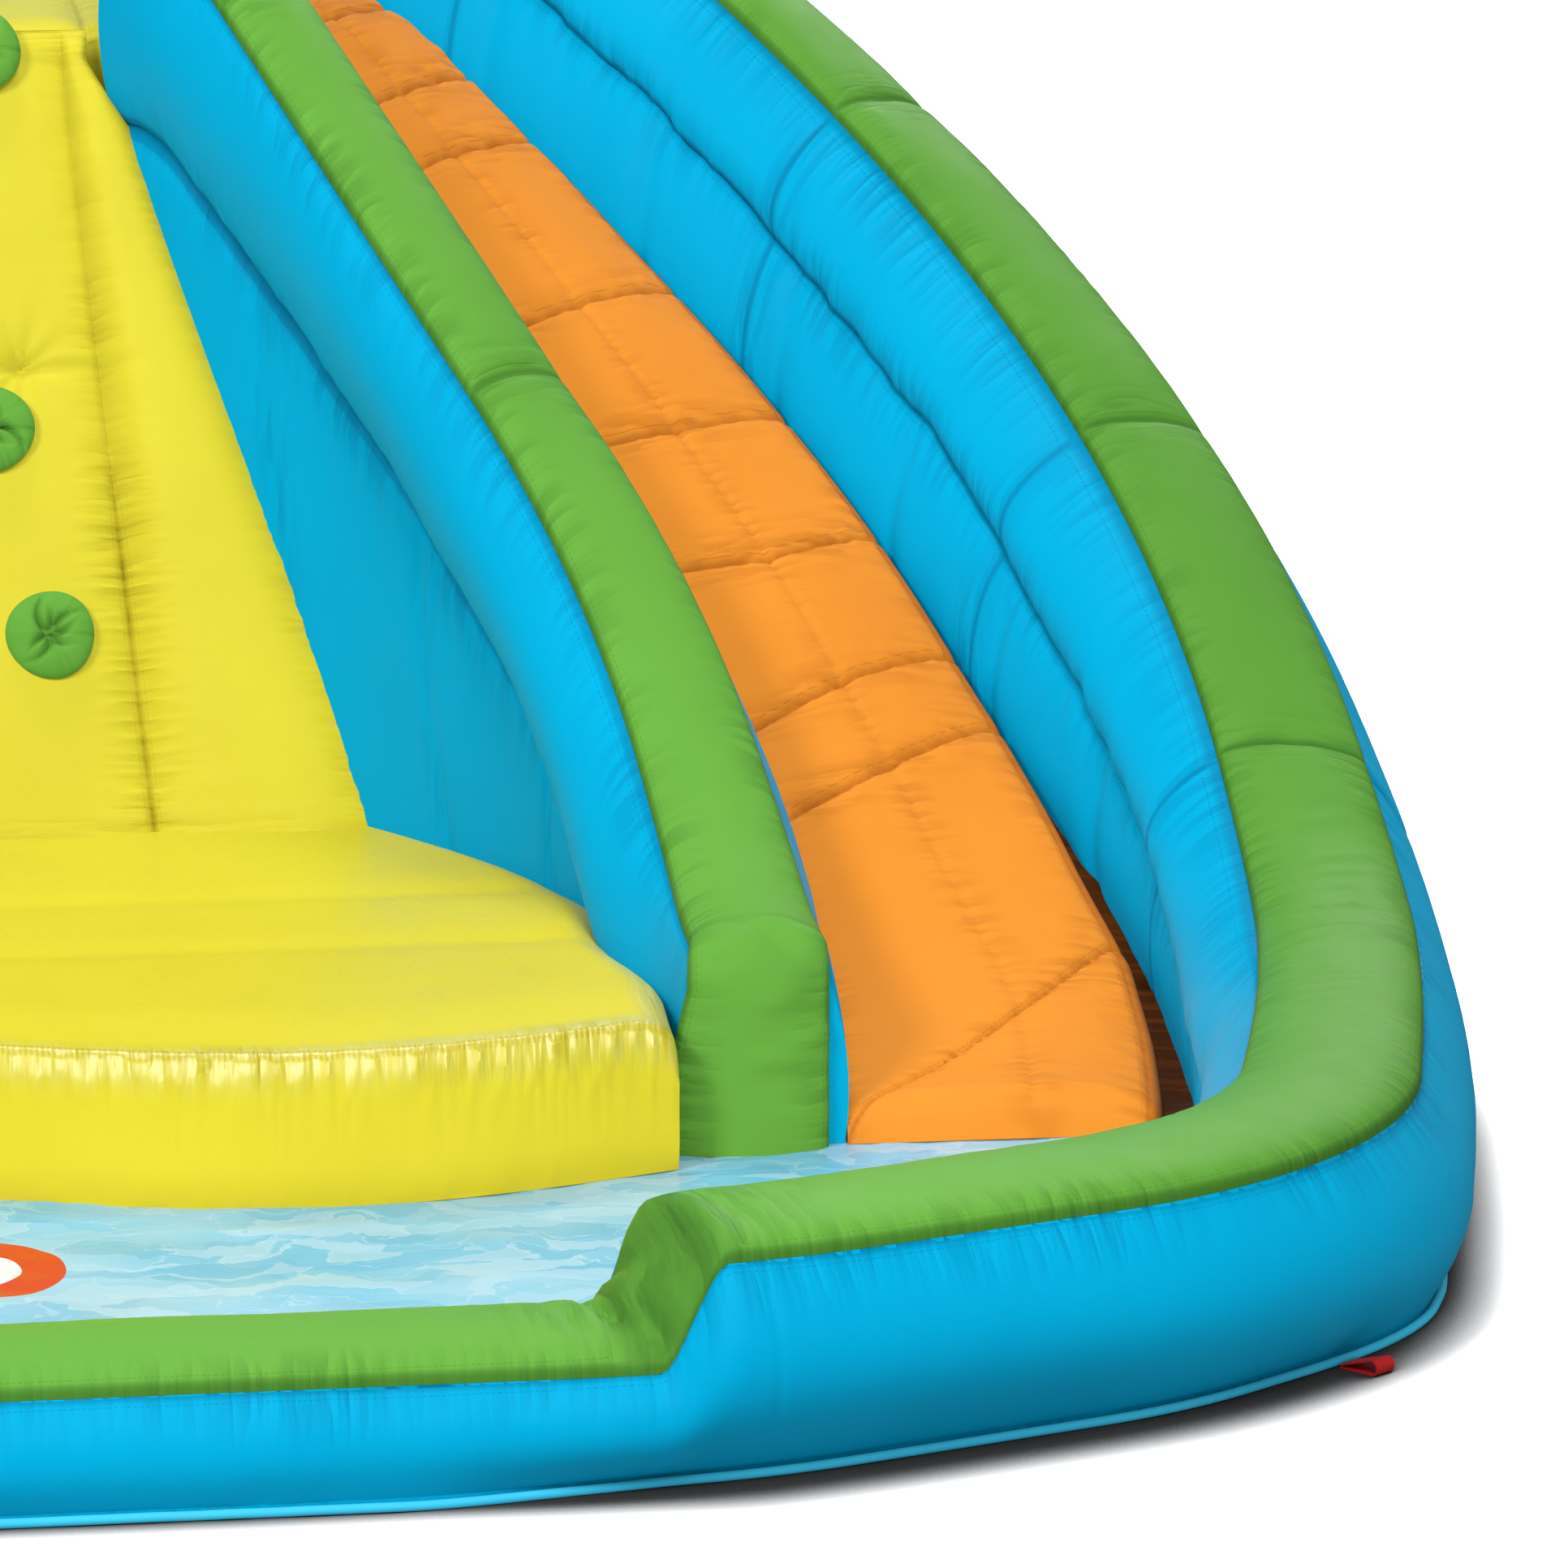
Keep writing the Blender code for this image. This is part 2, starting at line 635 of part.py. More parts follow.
def climb_column(centre_share, side_share):
    """One upright slice through the climbing wall, at a share of its centre or its side chamber."""
    lean = Vector((0, -math.sin(CLIMB_INCLINE), math.cos(CLIMB_INCLINE)))
    if side_share is None:
        crown = CLIMB_CROWN * math.sqrt(1 - centre_share ** 2)
    else:
        crown = CLIMB_SIDE_CROWN * math.sin(math.pi * min(side_share, CLIMB_SIDE_PUFF_SHARE))
    column = [(CLIMB_FOOT_Y, FLOOR_TOP + GAP, 0), (CLIMB_FOOT_Y, LANDING_HEIGHT, 0)]
    for share in CLIMB_FACE_SHARES:
        height = blend(LANDING_HEIGHT, DECK_HEIGHT - CLIMB_TOP_ROUND, share)
        y = CLIMB_FOOT_Y + (height - LANDING_HEIGHT) / math.tan(CLIMB_INCLINE)
        full = crown * math.sqrt(math.sin(math.pi * blend(CLIMB_END_SHARE, 1 - CLIMB_END_SHARE, share)))
        column.append((y + lean.y * full, height + lean.z * full, share))
    column.append((DECK_FRONT_Y - CLIMB_TOP_ROUND / 2, DECK_HEIGHT - CLIMB_TOP_ROUND / 6, 1))
    column.append((DECK_FRONT_Y, DECK_HEIGHT, 1))
    column.append((DECK_FRONT_Y, FLOOR_TOP + GAP, 1))
    points = []
    for y, z, share in column:
        seam = blend(CLIMB_SEAM_X, CLIMB_TOP_SEAM_X, share)
        edge = INNER.x_at(max(y, CLIMB_FOOT_Y - CLIMB_CROWN))
        x = seam * centre_share if side_share is None else blend(seam, edge, side_share)
        points.append(Vector((x, y, z)))
    return points


def climbing_wall(collection):
    right = [climb_column(share, None) for share in CLIMB_CENTRE_SHARES]
    right += [climb_column(1, share) for share in CLIMB_SIDE_SHARES]
    left = [[Vector((-p.x, p.y, p.z)) for p in column] for column in reversed(right[1:])]
    return loft("climbing_wall", left + right, YELLOW, collection, ends="fan")


def landing_front(x):
    """The landing's front edge: a shallow lobe on either side of the middle."""
    lobe = LANDING_LOBE * math.sin(math.pi * clamp(abs(x) / LANDING_HALF_WIDTH))
    return FRONT_WALL_Y + LANDING_FRONT_BACK - lobe


def landing_side_x(y):
    into = clamp((y - FRONT_WALL_Y - INNER_START_BACK) / INNER_END_RUN)
    return blend(LANDING_HALF_WIDTH, INNER.x_at(y), into)


def landing_platform(collection):
    """The low yellow chamber at the climbing wall's foot, puffed between crosswise channels."""
    seams = [FRONT_WALL_Y + back for back in LANDING_SEAM_BACKS]
    last = CLIMB_FOOT_Y - GAP
    columns = []
    for across in LANDING_ACROSS_SHARES:
        front = landing_front(across * LANDING_HALF_WIDTH)
        edges = [front + LANDING_ROUND] + seams + [last]
        into = clamp((across - LANDING_SIDE_SHARE) / (1 - LANDING_SIDE_SHARE))
        high = LANDING_HEIGHT - LANDING_SIDE_FALL * (1 - math.sqrt(1 - into * into))
        over = [(front - LANDING_ROUND / 3, high / 2)]
        for turn in [math.pi / 2 * share for share in LANDING_ROUND_SHARES]:
            back = LANDING_ROUND * (1 - math.cos(turn))
            over.append((front + back, high - LANDING_ROUND * (1 - math.sin(turn))))
        for start, end in zip(edges, edges[1:]):
            for share in LANDING_PUFF_SHARES:
                over.append((blend(start, end, share), high + LANDING_CROWN * math.sin(math.pi * share)))
        under = [(y, FLOOR_TOP + GAP) for y, _ in over]
        under[0] = (front, FLOOR_TOP + GAP)
        column = over + under[::-1]
        columns.append([Vector((across * landing_side_x(y), y, z)) for y, z in column])
    left = [[Vector((-p.x, p.y, p.z)) for p in column] for column in reversed(columns[1:])]
    return loft("landing_platform", left + columns, YELLOW, collection, ends="strip")


def deck_outline():
    """Plan of the deck: front edge, lane mouths at both sides and the outer walls behind."""
    left = INNER.beside(INNER.length, 0)
    right = OUTER.beside(SLIDE_START + BED_START_RUN + BED_RUN, 0)
    line = (right - left).normalized()
    inward = Vector((-line.y, line.x, 0)) * GAP
    front_y = DECK_FRONT_Y + GAP
    corner = left + inward + line * ((front_y - left.y - inward.y) / line.y)
    rim = spread(SLIDE_START + BED_START_RUN + BED_RUN, OUTER.length, DECK_RIM_POINTS)
    half = [corner, right + inward] + [OUTER.beside(along, 0) for along in rim[1:]]
    return half + [Vector((-p.x, p.y, 0)) for p in reversed(half[:-1])]


def prism(name, outline, rings, material, collection):
    """Stacked copies of a flat outline; rings holds (height, inset) pairs."""
    middle = sum(outline, Vector()) / len(outline)
    reach = max((point - middle).length for point in outline)
    stack = []
    for height, inset in rings:
        ring = [middle + (point - middle) * (1 - inset / reach) for point in outline]
        stack.append([Vector((point.x, point.y, height)) for point in ring])
    return loft(name, stack, material, collection)


def deck_pieces(collection):
    outline = deck_outline()
    under = DECK_HEIGHT - DECK_THICKNESS
    base = [(FLOOR_TOP + GAP, 0), (under - GAP, 0)]
    top = [(under, 0)]
    for down, inset in DECK_ROUND_SHARES:
        top.append((DECK_HEIGHT - DECK_ROUND * down, DECK_ROUND * inset))
    return (
        prism("tower_chamber", outline, base, BLUE, collection),
        prism("top_deck", outline, top, YELLOW, collection),
    )


def round_stations():
    """The walls' own stations, from the middle of the front round to the middle of the back."""
    front = front_stations(FRONT_WALL_HALF)
    stations = front[len(front) // 2:] + POOL_STATIONS[1:] + SLIDE_STATIONS[1:]
    return stations + back_stations(BACK_WALL_HALF)[1:BACK_RINGS]


def foot_point(along, beyond, height=0.0, side=1):
    """A point beyond the outer wall's foot."""
    return OUTER.beside(along, -base_half_width(along) - beyond, height, side)


def base_outline(beyond):
    """Points round the whole footprint, at a distance beyond the walls' feet."""
    right = [foot_point(along, beyond) for along in round_stations()]
    return right + [Vector((-p.x, p.y, 0)) for p in reversed(right[1:-1])]


def base_sheet(collection):
    return prism("base_sheet", base_outline(0), [(0, 0), (BASE_SHEET, 0)], BLUE, collection)


def base_piping(collection):
    """The round welt sewn along the bottom edge, as one closed loop of tube."""
    curve = bpy.data.curves.new("base_piping", "CURVE")
    curve.dimensions = "3D"
    curve.bevel_depth = PIPING_RADIUS
    curve.bevel_resolution = 2
    points = base_outline(GAP * 2 + PIPING_RADIUS)
    spline = curve.splines.new("POLY")
    spline.points.add(len(points) - 1)
    for target, point in zip(spline.points, points):
        target.co = (point.x, point.y, PIPING_RADIUS, 1)
    spline.use_cyclic_u = True
    curve.materials.append(PIPING_BLUE)
    obj = bpy.data.objects.new("base_piping", curve)
    collection.objects.link(obj)
    return obj


def pool_floor(collection):
    """The printed floor sheet on the base sheet, from the front wall to under the slide's end."""
    last = OUTER.where(FRONT_WALL_Y + POOL_FLOOR_BACK)
    right = [OUTER.beside(along, BASE_HALF_WIDTH / 2) for along in spread(0, last, FLOOR_RINGS)]
    outline = right + [Vector((-p.x, p.y, 0)) for p in reversed(right[1:])]
    low = BASE_SHEET + GAP
    return prism("pool_floor", outline, [(low, 0), (low + POOL_FLOOR_SHEET, 0)], WATER, collection)


def climb_point(x, height):
    """A point on the climbing wall's centre chamber and the direction that it faces."""
    lean = Vector((0, -math.sin(CLIMB_INCLINE), math.cos(CLIMB_INCLINE)))
    y = CLIMB_FOOT_Y + (height - LANDING_HEIGHT) / math.tan(CLIMB_INCLINE)
    share = (height - LANDING_HEIGHT) / (DECK_HEIGHT - LANDING_HEIGHT)
    seam = blend(CLIMB_SEAM_X, CLIMB_TOP_SEAM_X, share)
    crown = CLIMB_CROWN * math.sqrt(1 - min((abs(x) + HOLD_RADIUS) / seam, HOLD_EDGE_SHARE) ** 2)
    return Vector((x, y, height)) + lean * (crown - HOLD_SEAT_DEPTH), lean


def turned(name, profile, steps, place, facing, material, collection):
    """A solid of revolution from (radius, height) points, set at a place with its axis along facing."""
    shape = bmesh.new()
    base = [shape.verts.new((radius, 0, height)) for radius, height in profile]
    edges = [shape.edges.new(pair) for pair in zip(base, base[1:])]
    bmesh.ops.spin(shape, geom=base + edges, axis=(0, 0, 1), cent=(0, 0, 0), dvec=(0, 0, 0),
                   angle=2 * math.pi, steps=steps, use_merge=True)
    bmesh.ops.remove_doubles(shape, verts=shape.verts, dist=MERGE)
    bmesh.ops.recalc_face_normals(shape, faces=shape.faces)
    mesh = bpy.data.meshes.new(name)
    shape.to_mesh(mesh)
    shape.free()
    mesh.materials.append(material)
    mesh.shade_smooth()
    mesh.set_sharp_from_angle(angle=SHARP_ANGLE)
    obj = bpy.data.objects.new(name, mesh)
    obj.rotation_euler = facing.to_track_quat("Z", "Y").to_euler()
    obj.location = place
    collection.objects.link(obj)
    return obj


def climbing_holds(wall, collection):
    """Puffed round grips, gathered in the middle, each seated in a shallow round recess."""
    places = []
    for x, height in zip(HOLD_X, HOLD_HEIGHTS):
        places += [(x, height), (-x, height)]
    places.append((0.0, CENTRE_HOLD_HEIGHT))
    profile = []
    for out, up, dimple in HOLD_PROFILE_SHARES:
        profile.append((HOLD_RADIUS * out, HOLD_THICKNESS * up - HOLD_DIMPLE * dimple))
    reach = HOLD_RADIUS + HOLD_SEAT_DEPTH
    seat = [(0, -GAP), (reach, -GAP), (reach, HOLD_SEAT_REACH), (0, HOLD_SEAT_REACH)]
    for number, (x, height) in enumerate(places, 1):
        place, lean = climb_point(x, height)
        turned(f"climbing_hold_{number}", profile, HOLD_FACETS, place, lean, GREEN, collection)
        cutter = turned(f"hold seat {number}", seat, HOLD_SEAT_FACETS, place, lean, GREEN, cutters)
        cut(wall, keep_as_cutter(cutter))


def loop_arc(centre, radius, start, end, count):
    """(out, up) points round an arc in a loop's side view."""
    turns = [start + (end - start) * i / (count - 1) for i in range(count)]
    return [(centre + radius * math.cos(turn), radius * math.sin(turn)) for turn in turns]


def loop_outlines():
    """Side view of a folded strap: a rolled root on the hinge line, two plies and a round eye."""
    eye = LOOP_RISE / 2
    middle = LOOP_REACH - eye
    lift = eye - LOOP_STRAP
    turn = LOOP_EYE_TURN
    root = loop_arc(0, LOOP_STRAP, math.pi / 2, math.pi * 3 / 2, LOOP_ROOT_POINTS)
    rim = loop_arc(middle, eye, -turn, turn, LOOP_EYE_POINTS)
    hole = loop_arc(middle, eye - LOOP_STRAP, -turn, turn, LOOP_EYE_POINTS)
    neck = LOOP_REACH * LOOP_NECK_SHARE
    rim = [(out, up + lift) for out, up in rim]
    hole = [(out, up + lift) for out, up in hole]
    return root + [(neck, -LOOP_STRAP)] + rim + [(neck, LOOP_STRAP)], hole + [(neck, 0)]


def anchor_loop(name, along, side, collection):
    """A folded webbing loop lying on the ground at the hem. Its origin is on its hinge line."""
    apart = PIPING_RADIUS + GAP + LOOP_STRAP
    start = GAP + PIPING_RADIUS + math.sqrt(apart ** 2 - (PIPING_RADIUS - LOOP_STRAP) ** 2)
    curve = bpy.data.curves.new(name, "CURVE")
    curve.dimensions = "2D"
    curve.fill_mode = "BOTH"
    curve.extrude = LOOP_WIDTH / 2
    for outline in loop_outlines():
        spline = curve.splines.new("POLY")
        spline.points.add(len(outline) - 1)
        for point, (out, up) in zip(spline.points, outline):
            point.co = (out, up, 0, 1)
        spline.use_cyclic_u = True
    curve.materials.append(RED)
    obj = bpy.data.objects.new(name, curve)
    before = max(station for station in round_stations() if station <= along)
    after = min(station for station in round_stations() if station > along)
    first = foot_point(before, start, LOOP_STRAP, side)
    last = foot_point(after, start, LOOP_STRAP, side)
    up = Vector((0, 0, 1))
    out = (last - first).cross(up).normalized() * side
    obj.rotation_euler = Matrix((out, up, out.cross(up))).transposed().to_euler()
    obj.location = first.lerp(last, (along - before) / (after - before))
    collection.objects.link(obj)
    return obj


def main():
    walls = {}
    grown = {}
    half_round = POOL_STATIONS[:-1] + SLIDE_STATIONS[:-1] + back_stations(BACK_WALL_HALF)[:BACK_RINGS]
    round_back = half_round + [-along for along in reversed(half_round[:-1])]
    outer_tool = keep_as_cutter(outer_wall("outer wall", round_back, 1, BLUE, cutters, GAP))
    for side, word in ((1, "right"), (-1, "left")):
        pool, slide = POOL_STATIONS, SLIDE_STATIONS
        walls["pool_side_wall_" + word] = outer_wall("pool_side_wall_" + word, pool, side, BLUE, parts)
        walls["slide_outer_wall_" + word] = outer_wall("slide_outer_wall_" + word, slide, side, BLUE, parts)
        outer_cap("pool_side_cap_" + word, pool, side, parts)
        outer_cap("slide_outer_cap_" + word, slide, side, parts)
        walls["slide_inner_wall_" + word] = inner_wall("slide_inner_wall_" + word, side, BLUE, parts)
        inner_cap("slide_inner_cap_" + word, side, parts)
        tool = inner_wall("inner wall " + word, side, BLUE, cutters, GAP)
        grown["inner " + word] = keep_as_cutter(tool)
        cap_tool = inner_cap("inner cap " + word, side, cutters, GAP * 2)
        grown["cap " + word] = keep_as_cutter(cap_tool)
        bed = slide_bed("slide_bed_" + word, side, parts)
        cut(bed, outer_tool, grown["inner " + word], grown["cap " + word])
    walls["front_wall"] = outer_wall("front_wall", front_stations(FRONT_WALL_HALF), 1, BLUE, parts)
    outer_cap("front_cap", front_stations(FRONT_WALL_HALF), 1, parts)
    walls["back_wall"] = outer_wall("back_wall", back_stations(BACK_WALL_HALF), 1, BLUE, parts)
    outer_cap("back_cap", back_stations(BACK_WALL_HALF), 1, parts)
    front_tool = outer_wall("front wall", front_stations(FRONT_WALL_HALF + GAP), 1, BLUE, cutters, GAP)
    keep_as_cutter(front_tool)

    reach = OUTER.length
    ground = box_cutter("ground", (-reach, -reach, -reach), (reach, reach, BASE_SHEET + GAP))
    inner_ground = box_cutter("inner ground", (-reach, -reach, -reach), (reach, reach, FLOOR_TOP + GAP))
    for name, wall in walls.items():
        cut(wall, inner_ground if "inner" in name else ground)

    base_sheet(parts)
    base_piping(parts)
    floor = pool_floor(parts)
    cut(floor, front_tool, outer_tool)
    landing = landing_platform(parts)
    cut(landing, *grown.values(), solver="MANIFOLD")
    wall = climbing_wall(parts)
    cut(wall, grown["inner right"], grown["inner left"])
    climbing_holds(wall, parts)
    for piece in deck_pieces(parts):
        cut(piece, outer_tool, grown["inner right"], grown["inner left"])
    for number, along in enumerate(LOOP_RUNS, 1):
        for side, word in ((1, "right"), (-1, "left")):
            anchor_loop(f"anchor_loop_{word}_{number}", along, side, parts)


for old in list(bpy.data.objects):
    bpy.data.objects.remove(old)


parts = bpy.data.collections.new("inflatable water slide")
cutters = bpy.data.collections.new("cutters")
cutters.hide_render = True
bpy.context.scene.collection.children.link(parts)
bpy.context.scene.collection.children.link(cutters)

BLUE = make_material("blue fabric", 1, 177, 225, 0.5)
PIPING_BLUE = make_material("hem welt", 30, 190, 240, 0.45)
GREEN = make_material("green fabric", 114, 180, 72, 0.5)
ORANGE = make_material("orange fabric", 248, 154, 53, 0.5)
YELLOW = make_material("yellow fabric", 228, 223, 60, 0.45)
WATER = make_material("printed floor", 160, 212, 232, 0.4)
RED = make_material("red webbing", 214, 25, 28, 0.6)

main()
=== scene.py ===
# %% [markdown]
# # An inflatable double water slide, dressed in sewn cloth
#
# The slide is a blown-up toy house of coated cloth: low walls round a splash pool, two curved
# lanes with high walls, and a climbing wall between them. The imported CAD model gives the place
# and the rough form of each chamber. This script sews a finer skin over each of them, with
# seams, gathers, folds and weave, and puts it under plain studio light.

# %% Load the CAD model as a fixed frame
import json
import math

import bpy
import numpy as np
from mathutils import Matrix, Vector


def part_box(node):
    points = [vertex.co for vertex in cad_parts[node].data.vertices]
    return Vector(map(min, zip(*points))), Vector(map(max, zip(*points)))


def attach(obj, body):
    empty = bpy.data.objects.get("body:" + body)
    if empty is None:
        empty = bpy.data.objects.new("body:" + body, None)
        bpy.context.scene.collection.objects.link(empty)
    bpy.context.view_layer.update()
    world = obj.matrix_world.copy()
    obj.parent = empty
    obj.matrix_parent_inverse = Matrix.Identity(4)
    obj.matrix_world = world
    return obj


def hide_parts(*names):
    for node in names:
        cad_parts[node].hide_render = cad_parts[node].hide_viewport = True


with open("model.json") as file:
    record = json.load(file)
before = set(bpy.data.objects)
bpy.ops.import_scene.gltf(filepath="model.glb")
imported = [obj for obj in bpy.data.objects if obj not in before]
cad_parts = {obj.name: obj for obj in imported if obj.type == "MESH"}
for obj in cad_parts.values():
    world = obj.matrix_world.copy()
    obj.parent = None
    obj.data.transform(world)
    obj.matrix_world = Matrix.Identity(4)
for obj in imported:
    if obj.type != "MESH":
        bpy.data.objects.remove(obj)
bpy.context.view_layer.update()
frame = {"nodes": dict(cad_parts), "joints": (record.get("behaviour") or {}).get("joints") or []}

rad = math.radians
bpy.ops.object.select_all(action="DESELECT")

# %% [markdown]
# ## The camera
#
# The photograph was taken from about 12 m away with a long lens, a little above the slide and
# turned 8 degrees to the right of straight ahead. A long lens flattens depth, so a wrong distance
# shows as walls that close in too fast. The lens is worked out from the focal length in pixels.

# %% Set up the camera
PHOTO_SIDE, SENSOR = 1932, 36
FOCAL_PIXELS = 10560
CAMERA_PLACE = (-0.4545, -12.7092, 3.3129)
AIM_BELOW_MIDDLE = 597
LOOK_DOWN = rad(16) - math.atan(AIM_BELOW_MIDDLE / FOCAL_PIXELS)
LOOK_RIGHT = rad(8)

bpy.ops.object.camera_add(
    location=CAMERA_PLACE, rotation=(math.pi / 2 - LOOK_DOWN, 0, -LOOK_RIGHT)
)
camera = bpy.context.object
camera.name = "photo_camera"
camera.data.sensor_width = SENSOR
camera.data.lens = SENSOR * FOCAL_PIXELS / PHOTO_SIDE
camera.data.clip_end = 200
bpy.context.scene.camera = camera
print("lens", round(camera.data.lens, 1), "mm")

# %% [markdown]
# ## A short way to write shader nodes
#
# Floor, world and cloth are all node graphs. Blender's own calls for them are long, so one small
# class adds a node, sets its sockets and joins it in a single line.

# %% The node helper
def srgb(red, green, blue):
    """A colour as written in a picture, turned into the light that Blender reckons with."""
    out = []
    for value in (red / 255, green / 255, blue / 255):
        out.append(value / 12.92 if value <= 0.04045 else ((value + 0.055) / 1.055) ** 2.4)
    return (*out, 1)


class Graph:
    """The nodes of one material or world, with a short way to add and join them."""

    SOCKETS = {"v": "Vector", "scale": "Scale", "detail": "Detail", "rough": "Roughness"}

    def __init__(self, owner, empty=False):
        owner.use_nodes = True
        self.owner = owner
        self.nodes, self.links = owner.node_tree.nodes, owner.node_tree.links
        if empty:
            self.nodes.clear()
        self.skin = self.nodes.get("Principled BSDF")

    def add(self, kind, settings=(), **inputs):
        node = self.nodes.new("ShaderNode" + kind)
        for key, value in dict(settings).items():
            setattr(node, key, value)
        for key, value in inputs.items():
            self.put(node, key, value)
        return node

    def put(self, node, key, value):
        """Sets or joins a socket, named by its label, by i and its number, or by a short name."""
        key = int(key[1:]) if key[0] == "i" and key[1:].isdigit() else self.SOCKETS.get(key, key)
        if hasattr(value, "is_output"):
            self.links.new(value, node.inputs[key])
        else:
            node.inputs[key].default_value = value

    def maths(self, operation, *values):
        node = self.add("Math", {"operation": operation})
        for number, value in enumerate(values):
            self.put(node, f"i{number}", value)
        return node.outputs[0]

    def chain(self, operation, *values):
        """Adds up or multiplies any number of values."""
        out = values[0]
        for value in values[1:]:
            out = self.maths(operation, out, value)
        return out

    def off(self, value, middle):
        """How far a value is from a middle one, on either side."""
        return self.maths("ABSOLUTE", self.maths("SUBTRACT", value, middle))

    def ramp(self, value, low, high, out_low=0.0, out_high=1.0, kind="SMOOTHSTEP"):
        limits = {"From Min": low, "From Max": high, "To Min": out_low, "To Max": out_high}
        node = self.add("MapRange", {"interpolation_type": kind}, Value=value, **limits)
        return node.outputs["Result"]

    def noise(self, vector, scale, detail=2.0, rough=0.5):
        node = self.add("TexNoise", v=vector, scale=scale, detail=detail, rough=rough)
        return node.outputs["Fac"]

    def waves(self, vector, scale, bend, way="X"):
        settings = {"wave_type": "BANDS", "bands_direction": way}
        node = self.add("TexWave", settings, v=vector, scale=scale, Distortion=bend)
        return node.outputs["Fac"]

    def mix(self, factor, first, second):
        node = self.add("Mix", {"data_type": "RGBA"}, i0=factor, i6=first, i7=second)
        return node.outputs[2]

    def surface(self, colour, height, roughness, specular):
        """Joins colour, bump height in metres and shine, and gives back the material."""
        bump = self.add("Bump", Strength=1.0, Distance=1.0, Height=height)
        self.put(self.skin, "Base Color", colour)
        self.put(self.skin, "Normal", bump.outputs[0])
        self.put(self.skin, "Roughness", roughness)
        self.put(self.skin, "Specular IOR Level", specular)
        return self.owner


print("node helper ready")

# %% [markdown]
# ## Studio floor and light
#
# The photograph has a pure white ground with one narrow, dark shadow along the hem. So the
# camera sees the floor white wherever it is open, and within a hand's breadth of the slide a
# painted shadow, from ambient occlusion in the floor's colour, darkens it. Other rays see a plain
# grey floor, because a bright one would put a white veil on the cloth. The camera sees a white
# world, while the light from it stays gentle, since more would wash the colours out. Four soft
# lamps model the tubes: one high in front, one from the left that gives the bright sides, one
# overhead, and a weak one for the back.

# %% Build the floor, the lamps and the world
FLOOR_SIDE, SHADOW_REACH = 60, 0.15
WORLD_LIGHT = 0.34
WHITE = (1, 1, 1, 1)

bpy.ops.mesh.primitive_plane_add(size=FLOOR_SIDE, location=(0, 0, 0))
floor = bpy.context.object
floor.name = "studio_floor"
paint = Graph(bpy.data.materials.new("studio floor paint"), empty=True)
seen = paint.add("LightPath").outputs
opened = paint.add("AmbientOcclusion", {"samples": 16}, Distance=SHADOW_REACH).outputs["AO"]
# painted shadow: the floor's colour darkens with ambient occlusion near the slide
floor_with_painted_shadow = paint.add("BsdfDiffuse", Color=paint.ramp(opened, 0.36, 1.0, 0.04, 2.2))
grey = paint.ramp(seen["Is Glossy Ray"], 0.0, 1.0, 0.45, 0.10, "LINEAR")
matt = paint.add("BsdfDiffuse", Color=grey)
picked = paint.add("MixShader", i0=seen["Is Camera Ray"], i1=matt.outputs[0], i2=floor_with_painted_shadow.outputs[0])
paint.add("OutputMaterial", Surface=picked.outputs[0])
floor.data.materials.append(paint.owner)

bpy.context.scene.world = bpy.data.worlds.new("studio world")
sky = Graph(bpy.context.scene.world, empty=True)
seen = sky.add("LightPath").outputs
gentle = sky.add("Background", Color=WHITE, Strength=WORLD_LIGHT)
bright = sky.add("Background", Color=WHITE, Strength=1.0)
direct = sky.maths("MAXIMUM", seen["Is Camera Ray"], seen["Is Transmission Ray"])
picked = sky.add("MixShader", i0=direct, i1=gentle.outputs[0], i2=bright.outputs[0])
sky.add("OutputWorld", Surface=picked.outputs[0])

# Name, place, height of the point it looks at, side in metres and power in watts
LAMPS = (
    ("key_lamp", (2, -10, 10), 0.5, 4, 700),
    ("top_lamp", (0, 3.5, 12), 0.5, 3, 420),
    ("left_lamp", (-6.5, -9, 8), 0.8, 3, 720),
    ("back_lamp", (5, 9, 6), 0.8, 4, 300),
)
for name, place, aim, side, power in LAMPS:
    turn = (Vector((0, 0, aim)) - Vector(place)).to_track_quat("-Z", "Y").to_euler()
    bpy.ops.object.light_add(type="AREA", location=place, rotation=turn)
    lamp = bpy.context.object
    lamp.name = name
    lamp.data.size = side
    lamp.data.energy = power
bpy.context.scene.view_settings.view_transform = "Standard"
print("floor, world and", len(LAMPS), "lamps")

# %% [markdown]
# ## The ground plan
#
# Every wall follows a line on the ground, a route of straight runs and arcs, and a place on a
# wall is a distance along its route and a distance aside. The same numbers shape the CAD model,
# so a skin worked out from them fits its chamber. Aside is positive towards the slide's middle.

# %% Lay out the two routes
FRONT_Y = -2.154
GAP, GROUND_SHEET, FLOOR_SHEET, CLEAR = 0.0003, 0.003, 0.003, 0.001
FLOOR_TOP = GROUND_SHEET + GAP + FLOOR_SHEET
ROUTE_STEP = 0.004


